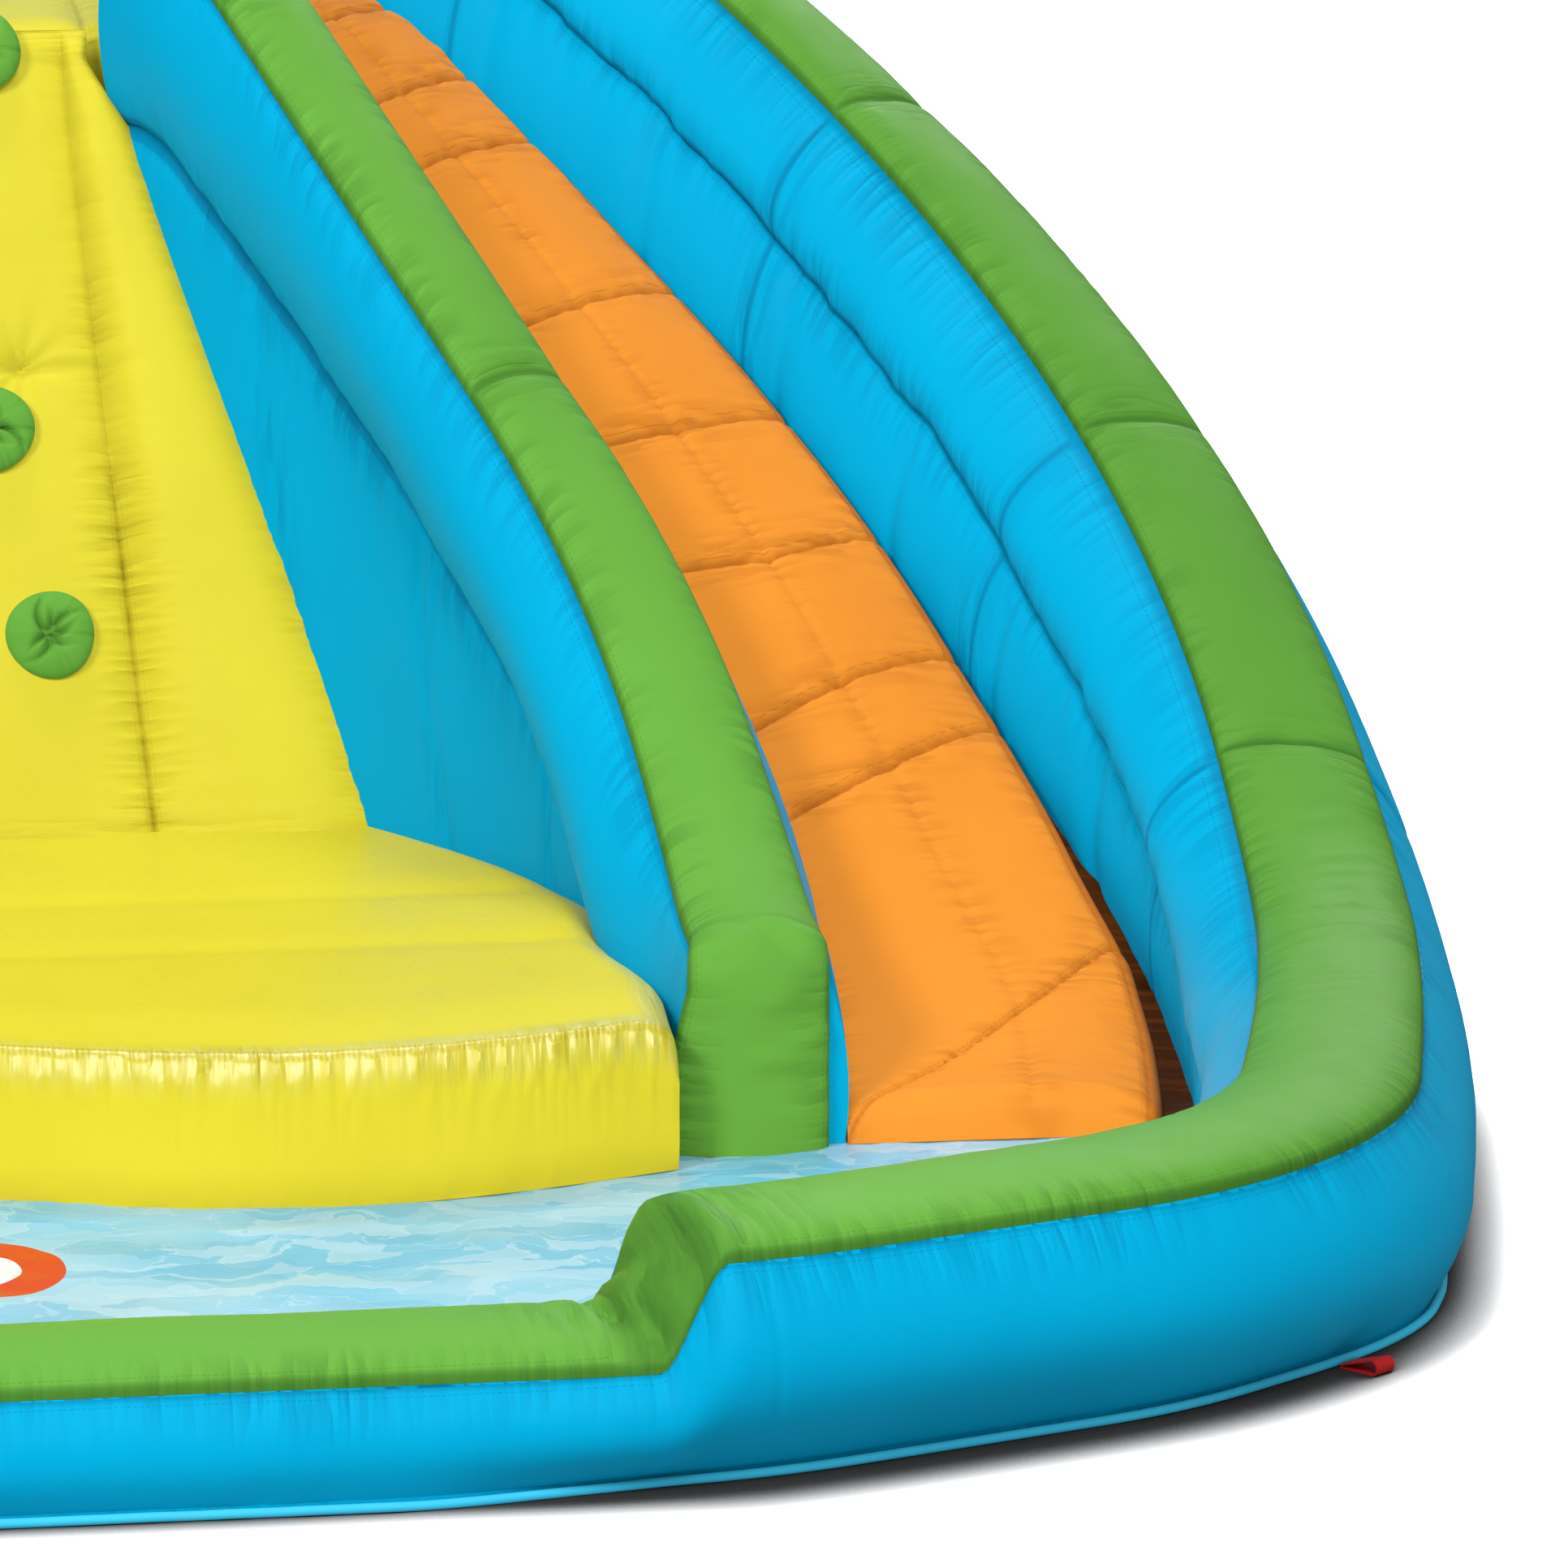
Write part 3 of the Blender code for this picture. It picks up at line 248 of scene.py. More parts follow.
class Route:
    """Straight runs and arcs, sampled finely, so that whole arrays of places can be looked up."""

    def __init__(self, x, y, heading, legs):
        along, points = [0.0], [(x, y, heading)]
        for run, turn in legs:
            steps = max(int(run / ROUTE_STEP), 2)
            step, part = run / steps, turn / steps
            chord = step * math.sin(part / 2) / (part / 2) if turn else step
            for _ in range(steps):
                x, y, heading = points[-1]
                middle = heading + part / 2
                x, y = x + math.cos(middle) * chord, y + math.sin(middle) * chord
                points.append((x, y, heading + part))
                along.append(along[-1] + step)
        self.along, self.table = np.array(along), np.array(points)
        self.length = along[-1]

    def at(self, along):
        """X, Y and heading at distances along; past either end it runs straight on."""
        along = np.asarray(along, float)
        x, y, heading = [np.interp(along, self.along, self.table[:, i]) for i in range(3)]
        extra = np.minimum(along, 0) + np.maximum(along - self.length, 0)
        return x + np.cos(heading) * extra, y + np.sin(heading) * extra, heading

    def beside(self, along, aside, height):
        """Points at distances along and aside, at a height; the arrays spread over each other."""
        x, y, heading = self.at(along)
        x, y = x - np.sin(heading) * aside, y + np.cos(heading) * aside
        return np.stack(np.broadcast_arrays(x, y, height), axis=-1)

    def along_at_y(self, y):
        return np.interp(y, self.table[:, 1] + self.along * 1e-9, self.along)


# Each leg is a run in metres and a turn in radians; an arc's run is its radius times its turn
outer_legs = [
    (0.75, 0), (1.008 * rad(19.9), rad(19.9)), (0.357, 0), (0.734 * rad(56.5), rad(56.5)),
    (0.141, 0), (0.641, rad(3.65)), (2.195 * rad(54), rad(54)), (1.05, rad(8)),
]
ahead = Route(0, FRONT_Y, 0, outer_legs)
last_x, _, last_heading = ahead.at(ahead.length)
back_run = float(last_x / math.sin(last_heading) * (math.pi - last_heading))
OUTER = Route(0, FRONT_Y, 0, outer_legs + [(back_run, math.pi - float(last_heading))])
SLIDE_START = sum(leg[0] for leg in outer_legs[:6])

CLIMB_Y, DECK_HEIGHT, LANDING_HEIGHT, INCLINE = FRONT_Y + 2.648, 1.45, 0.235, rad(66)
DECK_Y = CLIMB_Y + (DECK_HEIGHT - LANDING_HEIGHT) / math.tan(INCLINE)
LANDING_HALF, LANDING_SIDE_Y = 1.07, FRONT_Y + 1.508
INNER_START = (LANDING_HALF + 0.138, LANDING_SIDE_Y, rad(91.7))
inner_legs = [(0.21, 0), (1.363 * rad(32.2), rad(32.2))]
ahead = Route(*INNER_START, inner_legs)
_, last_y, last_heading = ahead.at(ahead.length)
INNER = Route(*INNER_START, inner_legs + [(float((DECK_Y - last_y) / math.sin(last_heading)), 0)])
print("outer route", round(OUTER.length, 3), "m, inner route", round(INNER.length, 3), "m")

# %% [markdown]
# ## Heights and widths along the routes
#
# The seam under the green cap is low at the front, steps up beside it, and climbs with the lane.
# Each of these is a smooth function of the distance along, so neighbouring pieces agree.

# %% Heights and widths
LOW_SEAM, POOL_SEAM, TOP_SEAM = 0.16, 0.30, 2.05
FRONT_HALF, STEP_LENGTH, STEP_SKEW = 1.06, 0.082, 0.019
STEP_START = FRONT_HALF - 0.158 - STEP_LENGTH
STEP_MIDDLE = STEP_START + STEP_LENGTH / 2
RISE_LENGTH, RISE_EASE = 3.30, 0.50
TUBE_DEPTH, BASE_HALF, HEM_HEIGHT = 0.285, 0.15, 0.015
FRONT_CAP, SIDE_CAP, TOP_CAP = 0.27, 0.235, 0.20
BED_FOOT, LOW_WALL_OVER_BED, HIGH_WALL_OVER_BED = 0.05, 0.25, 0.20


def smooth(value):
    value = np.clip(value, 0, 1)
    return value * value * (3 - 2 * value)


def blend(first, last, share):
    return first + (last - first) * share


def climbed(share, ease, top_ease):
    """Share of a climb gained at a share of its run, easing in and out."""
    share = np.clip(share, 0, 1)
    low = np.minimum(share, ease)
    middle = np.clip(share - ease, 0, 1 - ease - top_ease)
    high = np.maximum(share - 1 + top_ease, 0)
    gained = low**2 / (2 * ease) + middle + high - high**2 / (2 * top_ease)
    return gained / (1 - (ease + top_ease) / 2)


def seam_height(along):
    front = blend(LOW_SEAM, POOL_SEAM, smooth((along - STEP_START) / STEP_LENGTH))
    ease = RISE_EASE / RISE_LENGTH
    return front + (TOP_SEAM - POOL_SEAM) * climbed((along - SLIDE_START) / RISE_LENGTH, ease, ease)


def cap_half(along):
    side = smooth((along - FRONT_HALF) / (SLIDE_START - FRONT_HALF))
    width = blend(FRONT_CAP, SIDE_CAP, side)
    return blend(width, TOP_CAP, smooth((along - SLIDE_START) / RISE_LENGTH)) / 2


def base_half(along):
    inside = smooth((along - 0.50) / 0.40) * smooth((2.08 - along) / 0.40)
    return blend(BASE_HALF, 0.095, inside)


def bed_height(share):
    return blend(BED_FOOT, DECK_HEIGHT, climbed(share, 0.24, 0.10))


def inner_seam_height(along):
    share = along / INNER.length
    return bed_height(share) + blend(LOW_WALL_OVER_BED, HIGH_WALL_OVER_BED, share)


def inner_cap_half(along):
    return blend(0.20, 0.17, along / INNER.length) / 2


print("seam heights", [round(float(seam_height(a)), 2) for a in (0, 1, 3, 4, 5, 6)])

# %% [markdown]
# ## How cloth folds
#
# A blown-up chamber is cut from flat panels. Where the panel is longer than the seam that holds
# it, the cloth gathers: short folds stand square to the seam and die out a hand's breadth away.
# They are made from smooth random fields, stretched across the seam and squeezed along it, with
# fixed seeds so that each run is the same. Distances are in metres.

# %% Folds, gathers and creases as fields
def field(across, along, seed):
    """Smooth noise from -1 to 1 with one random value per unit square."""
    table = np.random.default_rng(seed).uniform(-1, 1, (512, 64))
    i, j = np.floor(across).astype(int), np.floor(along).astype(int)
    a, b = across - i, along - j
    a, b = a * a * (3 - 2 * a), b * b * (3 - 2 * b)

    def row(q):
        return table[i % 512, q % 64] * (1 - a) + table[(i + 1) % 512, q % 64] * a

    return row(j) * (1 - b) + row(j + 1) * b


def gathers(along, distance, seed, spacing=0.034, reach=0.05):
    """Height of folds square to a seam, at a distance from it: ridges up, hollows down."""
    line = 1 - np.abs(field(along / spacing, distance / 0.12, seed))
    strength = 0.35 + 0.65 * (0.5 + 0.5 * field(along / 0.23, distance * 0, seed + 1))
    rise = distance / (distance + 0.004)
    return (line**2 - 0.4) * strength * rise * np.exp(-distance / reach)


def crease(along, place, width=0.006):
    """One at a sewn line across the panel, falling to nothing beside it."""
    return np.exp(-np.abs((along - place) / width) ** 1.6)


def swells(along, distance, seed, size=0.28):
    """The slow unevenness of a full chamber."""
    return field(along / size, distance / (size * 0.7), seed)


def wander(along, seed, size, most, small_size, small):
    """How far a sewn line strays to either side as it runs along, in long and short bends."""
    flat = along * 0
    long_bends = most * field(along / size, flat, seed)
    return long_bends + small * field(along / small_size, flat, seed + 1)


def arch(share, full=0.0):
    """From 0 up to 1 and back across a panel; the fuller, the steeper it stands at its edges."""
    rise = np.sin(np.pi * share)
    return np.sqrt(np.maximum(rise, 0)) * full + rise * (1 - full)


def outward(points):
    """Unit normals of a grid of points, pointing away from the middle of each row."""
    normal = np.cross(np.gradient(points, axis=1), np.gradient(points, axis=0))
    normal /= np.maximum(np.linalg.norm(normal, axis=-1, keepdims=True), 1e-9)
    away = points - points.mean(axis=1, keepdims=True)
    return normal * np.sign((normal * away).sum())


def stations(first, last, step, seams=()):
    """Distances along a piece: even steps, with closer ones beside each sewn line."""
    rows = list(np.linspace(first, last, max(int(round((last - first) / step)), 1) + 1))
    for seam in seams:
        rows = [row for row in rows if abs(row - seam) > 0.016]
        rows += [seam + off for off in (-0.015, -0.009, -0.005, -0.002, 0.002, 0.005, 0.009, 0.015)]
    return np.array(sorted(row for row in rows if first <= row <= last))


def eased(count, ends=1.0):
    """Shares from 0 to 1 that lie closer together at both ends."""
    share = np.linspace(0, 1, count)
    return blend(share, 0.5 - 0.5 * np.cos(np.pi * share), ends)


print("fields ready")

# %% [markdown]
# ## Coated cloth
#
# The real cloth is a woven polyester with a thin coat: strong even colour, a soft broad sheen,
# and a weave that only shows close up. Near each seam it is gathered into fine pleats. The
# pattern has to follow the panel, so every piece carries a UV map in metres, along and down from
# its seam, and an attribute with the distance to the nearest seam, which is negative in a groove.
# The colour holds painted shade: darker within a centimetre of a seam and in the pleats' hollows,
# and very dark where that attribute is negative. Noise squeezed along the seam gives the pleats,
# two fine waves the weave, and a dashed line the stitches. Light that a piece throws on another
# is nearly neutral, so that yellow and blue pieces don't tint each other too much.

# %% A material for coated cloth
NEUTRAL, NEUTRAL_SHARE = (0.62, 0.62, 0.62, 1), 0.75


def coated_cloth(
    name, colour, shade, pleat=1.0, rough=0.40, shine=0.05, stitched=True,
    edge_shine=0.0, painted_side_shade=0.0, uneven=0.0022,
):
    """Woven cloth with a thin coat: pleats at its seams, a weave, stitches, soft patches and
    painted shade.
    """
    graph = Graph(bpy.data.materials.new(name))
    add, maths, chain = graph.add, graph.maths, graph.chain
    ramp, noise, mix = graph.ramp, graph.noise, graph.mix
    cut = add("UVMap", {"uv_map": "cut"}).outputs["UV"]
    seam = add("Attribute", {"attribute_name": "seam"}).outputs["Fac"]
    place = add("TexCoord").outputs["Object"]
    pleats = noise(add("Mapping", v=cut, Scale=(52, 7, 1)).outputs[0], 1.0, 1.5)
    hairs = noise(add("Mapping", v=cut, Scale=(120, 16, 1)).outputs[0], 1.0, 1.0)
    patch = ramp(noise(cut, 4.0, 1.0), 0.35, 0.62, 0.25, 1.0)
    near = maths("MULTIPLY", ramp(seam, 0.0, 0.085, 1.0, 0.0), patch)
    tall = chain("MULTIPLY", graph.off(pleats, 0.5), near, 0.009 * pleat)
    thin = chain("MULTIPLY", hairs, near, 0.0022 * pleat)
    wide = maths("MULTIPLY", noise(place, 9.0, 2.0), uneven)
    threads = [graph.waves(cut, 260.0, 0.4, way) for way in "XY"]
    weave = maths("MULTIPLY", maths("ADD", *threads), 0.00006)
    height = chain("ADD", tall, thin, wide, weave)

    base = mix(ramp(noise(place, 2.3, 3.0), 0.3, 0.7, 0.0, 0.12, "LINEAR"), colour, shade)
    # painted shade: darker within a centimetre of a seam
    base = mix(ramp(seam, 0.0, 0.010, 0.55, 0.0), base, shade)
    # painted shade: the colour darkens from 1.0 to 1.9 m out to either side of the middle
    if painted_side_shade:
        outer = maths("ABSOLUTE", add("SeparateXYZ", v=place).outputs[0])
        base = mix(ramp(outer, 1.0, 1.9, 0.0, painted_side_shade), base, shade)
    # painted shade: very dark where the seam attribute is negative, at the bottom of grooves and
    # gaps
    painted_groove_shade = [value * 0.16 for value in shade[:3]] + [1]
    base = mix(ramp(seam, -0.020, -0.002, 0.95, 0.0), base, painted_groove_shade)
    # painted shade in the hollows of the pleats near a seam
    base = mix(maths("MULTIPLY", near, ramp(pleats, 0.42, 0.56, 0.30, 0.0)), base, shade)
    if stitched:
        dash = maths("PINGPONG", add("SeparateXYZ", v=cut).outputs[0], 0.004)
        row = ramp(graph.off(seam, 0.011), 0.0004, 0.0010, 1.0, 0.0)
        base = mix(chain("MULTIPLY", ramp(dash, 0.0012, 0.0018), row, 0.35), base, shade)
    thrown = maths("MULTIPLY", add("LightPath").outputs["Is Diffuse Ray"], NEUTRAL_SHARE)
    patchy = ramp(noise(place, 14.0, 2.0), 0.3, 0.7, rough - 0.05, rough + 0.06, "LINEAR")
    if edge_shine:
        lit = ramp(seam, 0.020, 0.075, 1.0, 0.0), ramp(pleats, 0.38, 0.56, 0.35, 1.0)
        shine = maths("MULTIPLY_ADD", maths("MULTIPLY", *lit), edge_shine, shine)
    return graph.surface(mix(thrown, base, NEUTRAL), height, patchy, shine)


GREENS = srgb(110, 178, 68), srgb(48, 100, 30)
YELLOWS = srgb(234, 222, 56), srgb(170, 148, 14)
BLUE = coated_cloth("blue cloth", srgb(1, 179, 228), srgb(2, 112, 158), shine=0.03)
GREEN = coated_cloth("green cloth", *GREENS, shine=0.03)
# the outer caps' green, with painted shade towards the slide's sides
GREEN_WITH_PAINTED_SIDE_SHADE = coated_cloth("green cloth of the outer caps with painted side shade", *GREENS, shine=0.03, painted_side_shade=0.24)
ORANGE = coated_cloth("orange cloth", srgb(251, 156, 52), srgb(168, 84, 18))
YELLOW = coated_cloth("yellow cloth", *YELLOWS, pleat=1.1, rough=0.36, shine=0.10)
GLOSSY_YELLOW = coated_cloth(
    "yellow cloth of the landing", *YELLOWS, pleat=1.2, rough=0.30, shine=0.04,
    edge_shine=1.6, uneven=0.0006,
)
WELT = coated_cloth("hem welt cloth", srgb(70, 214, 255), srgb(20, 160, 214), stitched=False)
print("cloth materials ready")

# %% [markdown]
# ## Sewing a panel
#
# Each skin starts as a flat grid of cloth, as a sewer cuts it. Its corners are moved onto the
# form, the closing seam is merged, the open ends are filled and the faces are turned outwards.
# A grid keeps straight rows of faces along the seams, which a remeshed solid would lose. A skin
# is handed on as three grids: its points, its flat cut and its distance to the nearest seam.

# %% The panel maker
FAR_OFF = 0.2


def select_only(piece):
    bpy.ops.object.select_all(action="DESELECT")
    piece.select_set(True)
    bpy.context.view_layer.objects.active = piece


def merge(distance, fill_ends=False):
    """Joins the near corners of the active piece and turns its faces outwards."""
    bpy.ops.object.mode_set(mode="EDIT")
    bpy.ops.mesh.select_all(action="SELECT")
    bpy.ops.mesh.remove_doubles(threshold=distance)
    if fill_ends:
        bpy.ops.mesh.select_all(action="DESELECT")
        bpy.ops.mesh.select_non_manifold(
            extend=False, use_wire=False, use_multi_face=False, use_non_contiguous=False,
            use_verts=False,
        )
        bpy.ops.mesh.fill_holes(sides=0)
        bpy.ops.mesh.select_all(action="SELECT")
    bpy.ops.mesh.normals_make_consistent(inside=False)
    bpy.ops.object.mode_set(mode="OBJECT")


def lay_out(piece, cut, seam, material):
    """Gives a piece the UV map, the seam distances and the cloth material that reads them."""
    mesh = piece.data
    uv_map = mesh.uv_layers.get("cut") or mesh.uv_layers.new(name="cut")
    corner = np.empty(len(mesh.loops), int)
    mesh.loops.foreach_get("vertex_index", corner)
    uv_map.data.foreach_set("uv", cut.reshape(-1, 2)[corner].reshape(-1).astype(np.float32))
    near = mesh.attributes.new("seam", "FLOAT", "POINT")
    near.data.foreach_set("value", seam.reshape(-1).astype(np.float32))
    mesh.materials.clear()
    mesh.materials.append(material)
    mesh.update()


def panel(name, points, cut, seam, material, closed=True, body="inflatable"):
    """A grid of cloth moved onto the given points and sewn up."""
    rows, columns = points.shape[:2]
    bpy.ops.object.select_all(action="DESELECT")
    bpy.ops.mesh.primitive_grid_add(x_subdivisions=columns - 1, y_subdivisions=rows - 1, size=2)
    piece = bpy.context.object
    piece.name = piece.data.name = name
    piece.data.vertices.foreach_set("co", points.reshape(-1).astype(np.float32))
    piece.data.uv_layers[0].name = "cut"
    lay_out(piece, cut, seam, material)
    if closed:
        merge(0.00002, fill_ends=True)
    bpy.ops.object.shade_smooth_by_angle(angle=rad(50))
    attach(piece, body)
    return piece


def dress(piece, node):
    """Hides the CAD node that a piece stands for."""
    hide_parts(node)


def sew(name, node, skin, material):
    dress(panel(name, *skin, material), node)


def mirrored(points, cut, seam, flip=(-1, 1)):
    """The mirror image across the middle plane, with its rows in the other order."""
    return points[::-1] * np.array([-1, 1, 1]), cut[::-1] * np.array(flip), seam[::-1]


def both_halves(*right, flip=(-1, 1)):
    """A right half that starts on the middle plane, with its mirror image before it."""
    left = mirrored(*right, flip)
    return [np.concatenate([before[:-1], after]) for before, after in zip(left, right)]


def sew_pair(name, right, material):
    """The right piece and its mirror image on the left."""
    for word, skin in (("right", right), ("left", mirrored(*right))):
        sew(f"{name}_skin_{word}", f"{name}_{word}", skin, material)


def joined(strips):
    """Strips of a section, each with aside, height and way down, set side by side."""
    rows = max(len(grid) for strip in strips for grid in strip)
    return [
        np.concatenate([np.broadcast_to(s[i], (rows, s[i].shape[1])) for s in strips], axis=1)
        for i in range(3)
    ]


print("panel maker ready")

# %% [markdown]
# ## The outer wall
#
# One long wall runs round the pool and up both lanes to the back. Its outside is a full tube
# over a flatter panel that narrows to the hem. On the lane side it is two tubes with a deep
# groove between them. The whole right half is worked out as one grid, so that folds run on
# over the joins, and is then cut into the CAD model's pieces.

# %% Work out the outer wall's skin
JOIN, BACK_START = 3.46, OUTER.length - 0.63
FRONT_SEAM, BACK_SEAMS = 0.96, (JOIN, 4.09, 4.78, 5.45, 6.10)
BAFFLES = (3.70, 4.03, 4.36, 4.70, 5.04, 5.38, 5.72, 6.06, 6.40)
BAY_LENGTH, BAY_SWELL, LOWER_SEAM = 0.56, 0.05, 0.30
GROOVE_DEPTH, GROOVE_ASIDE, LANE_SIDE_HEIGHT = 0.17, 0.24, 0.505
OUTSIDE_BULGE, INSIDE_BULGE, LOWER_BULGE = 0.06, 0.062, 0.060
# How far the lower tube reaches aside at the pool, along the lane and behind the deck
POOL_FOOT, LANE_FOOT, DECK_FOOT = 0.150, 0.285, 0.38
FOOT_Z = 0.0035
TUBE, LOWER = eased(15), eased(17)
# The first column of each strip of a section
LOWER_AT = len(TUBE)
BOTTOM_AT = LOWER_AT + len(LOWER) - 1
INSIDE_AT = BOTTOM_AT + 2
UPPER_AT = INSIDE_AT + len(LOWER) - 1
TOP_AT = UPPER_AT + len(TUBE)


def outer_skin(along):
    """Points and flat cut of the whole section, and where its inside is split into two tubes."""
    along = along[:, None]
    half, base = cap_half(along), base_half(along)
    high_out, high_in = seam_height(along - STEP_SKEW), seam_height(along + STEP_SKEW)
    depth = np.minimum(TUBE_DEPTH, high_out - HEM_HEIGHT)
    bulge = OUTSIDE_BULGE * depth / TUBE_DEPTH
    share = TUBE[None]
    aside = blend(half, base, share) + (bulge + (BASE_HALF - base) / 2) * arch(share)
    tube = (-aside, high_out - depth * share, depth * share)
    tall = high_out - depth - HEM_HEIGHT
    bay = 0.4 + 0.6 * np.abs(np.sin(np.pi * along / BAY_LENGTH))
    share = LOWER[None, 1:]
    fall = np.maximum(tall, HEM_HEIGHT) * share
    swell = BAY_SWELL * np.clip(tall / 0.5, 0, 1) * bay * arch(share)
    lower = (-(base + swell), high_out - depth - fall, depth + fall)

    split = smooth((along - SLIDE_START + 0.30) / 0.35)
    near_end = 1 - smooth((along - SLIDE_START - 0.35) / 0.75)
    tube_depth = np.minimum(blend(TUBE_DEPTH, GROOVE_DEPTH, split), high_in - HEM_HEIGHT)
    tube_depth = tube_depth + split * wander(along, 19, 0.16, 0.012, 0.055, 0.006)
    groove = blend(BASE_HALF, GROOVE_ASIDE - 0.05 * near_end, split)
    wide = blend(POOL_FOOT, LANE_FOOT, smooth((along - SLIDE_START) / 1.55)) - 0.045 * near_end
    wide = blend(wide, DECK_FOOT, smooth((along - SLIDE_START - 2.45) / 0.40))
    wide = blend(BASE_HALF, wide, split)
    bottom = (np.concatenate([-base, wide], axis=1), np.full((1, 2), FOOT_Z), np.zeros((1, 2)))
    share = 1 - LOWER[None, :-1]
    fall = (LANE_SIDE_HEIGHT - GROOVE_DEPTH) * share
    round_in = (LOWER_BULGE - 0.015 * near_end) * split * arch(share, 0.75)
    aside = blend(groove, wide, share) + round_in
    inside_low = (aside, high_in - tube_depth - fall, fall)
    share = 1 - TUBE[None]
    round_in = blend(bulge, INSIDE_BULGE, split) * arch(share, 0.7 * split)
    aside = blend(half, groove, share) + round_in
    inside = (aside, high_in - tube_depth * share, tube_depth * share)
    level = np.linspace(high_in[:, 0], high_out[:, 0], 5).T[:, 1:]
    top = (np.linspace(half[:, 0], -half[:, 0], 5).T[:, 1:], level, np.zeros((1, 4)))
    aside, height, down = joined((tube, lower, bottom, inside_low, inside, top))
    points = OUTER.beside(along, aside, np.maximum(height, FOOT_Z))
    return points, np.stack([np.broadcast_to(along, down.shape), down], axis=-1), split


def with_cuts(along):
    """Distances along, with the places where the skin is cut into pieces among them."""
    cuts = [0, FRONT_HALF, JOIN, BACK_START, OUTER.length]
    return np.unique(np.round(np.concatenate([along, cuts]), 5))


ALONG = with_cuts(stations(0, OUTER.length, 0.010, (FRONT_SEAM, FRONT_HALF, *BACK_SEAMS)))
points, cut, split = outer_skin(ALONG)
down = cut[..., 1]
along = np.broadcast_to(ALONG[:, None], down.shape)
seam, amount = np.full(down.shape, FAR_OFF), np.zeros(down.shape)

part = slice(0, LOWER_AT)
to_cap, to_waist = down[:, part], down[:, LOWER_AT - 1:LOWER_AT] - down[:, part]
amount[:, part] += 0.0065 * gathers(along[:, part], to_cap, 11, 0.05, 0.045)
amount[:, part] += 0.0035 * gathers(along[:, part], to_waist, 12, 0.07, 0.04)
seam[:, part] = to_cap
part = slice(LOWER_AT, BOTTOM_AT)
to_hem = down[:, BOTTOM_AT - 1:BOTTOM_AT] - down[:, part]
amount[:, part] += 0.004 * gathers(along[:, part], to_hem, 13, 0.06, 0.05)
seam[:, part] = to_hem
part = slice(UPPER_AT, TOP_AT)
to_groove, to_cap = down[:, UPPER_AT:UPPER_AT + 1] - down[:, part], down[:, part]
amount[:, part] += 0.014 * gathers(along[:, part], to_groove, 14, 0.048, 0.05)
amount[:, part] += 0.005 * gathers(along[:, part], to_cap, 15, 0.05, 0.04)
# painted shade: negative seam values put a dark band along the groove
seam[:, part] = np.minimum(np.maximum(to_groove - 0.010, -0.006), to_cap)
part = slice(INSIDE_AT, UPPER_AT)
to_groove, to_seam = down[:, part], np.abs(LOWER_SEAM - down[:, part])
amount[:, part] += 0.015 * split * gathers(along[:, part], to_groove, 16, 0.048, 0.05)
amount[:, part] += 0.009 * split * gathers(along[:, part], to_seam, 17, 0.06, 0.08)
seam[:, part] = to_groove
amount += 0.004 * swells(along, down, 18)
outside = slice(0, BOTTOM_AT)
amount[:, outside] -= 0.0015 * crease(along[:, outside], FRONT_SEAM)
for place in BACK_SEAMS:
    amount[:, outside] -= 0.005 * crease(along[:, outside], place)
    seam = np.minimum(seam, np.where(down > 0.002, np.abs(along - place), FAR_OFF))
for place in BAFFLES:
    fade = np.clip(to_groove / 0.05, 0, 1)
    amount[:, part] -= 0.010 * crease(along[:, part], place, 0.02) * fade
amount[:, TOP_AT:] = 0
amount[:, [0, TOP_AT - 1, BOTTOM_AT - 1, BOTTOM_AT, BOTTOM_AT + 1]] = 0
amount *= np.clip(points[..., 2] / 0.05, 0, 1)
outer_wall = (points + outward(points) * amount[..., None], cut, seam)
print("outer wall grid", points.shape[:2])


# %% Cut the outer wall into its pieces
def stretch(skin, along, first, last):
    """The rows of a skin between two distances along."""
    rows = (along > first - 1e-6) & (along < last + 1e-6)
    return [grid[rows] for grid in skin]


def sew_round(skin, along, kind, material):
    """Cuts a skin that runs along the whole outer route into the CAD model's pieces."""
    front = both_halves(*stretch(skin, along, 0, FRONT_HALF))
    sew(f"front_{kind}_skin", f"front_{kind}", front, material)
    back = [np.flip(grid, 0) for grid in stretch(skin, along, BACK_START, OUTER.length)]
    sew(f"back_{kind}_skin", f"back_{kind}", both_halves(*back), material)
    sew_pair(f"pool_side_{kind}", stretch(skin, along, FRONT_HALF, JOIN), material)
    sew_pair(f"slide_outer_{kind}", stretch(skin, along, JOIN, BACK_START), material)


sew_round(outer_wall, ALONG, "wall", BLUE)
print("outer wall sewn")

# %% [markdown]
# ## The green caps
#
# A cap is a rounded strip sewn over the top of its wall. Cross seams cut it into lengths, the
# cloth puffs between them, and round the pool's corner its inner edge is too long, so it folds.

# %% The outer caps
ACROSS = np.sin(np.linspace(-math.pi / 2, math.pi / 2, 29))
CROWN, CAP_BASE, CAP_SPREAD = 0.042, 0.006, 1.15
CORNER_AT, CORNER_REACH = 2.86, 0.33


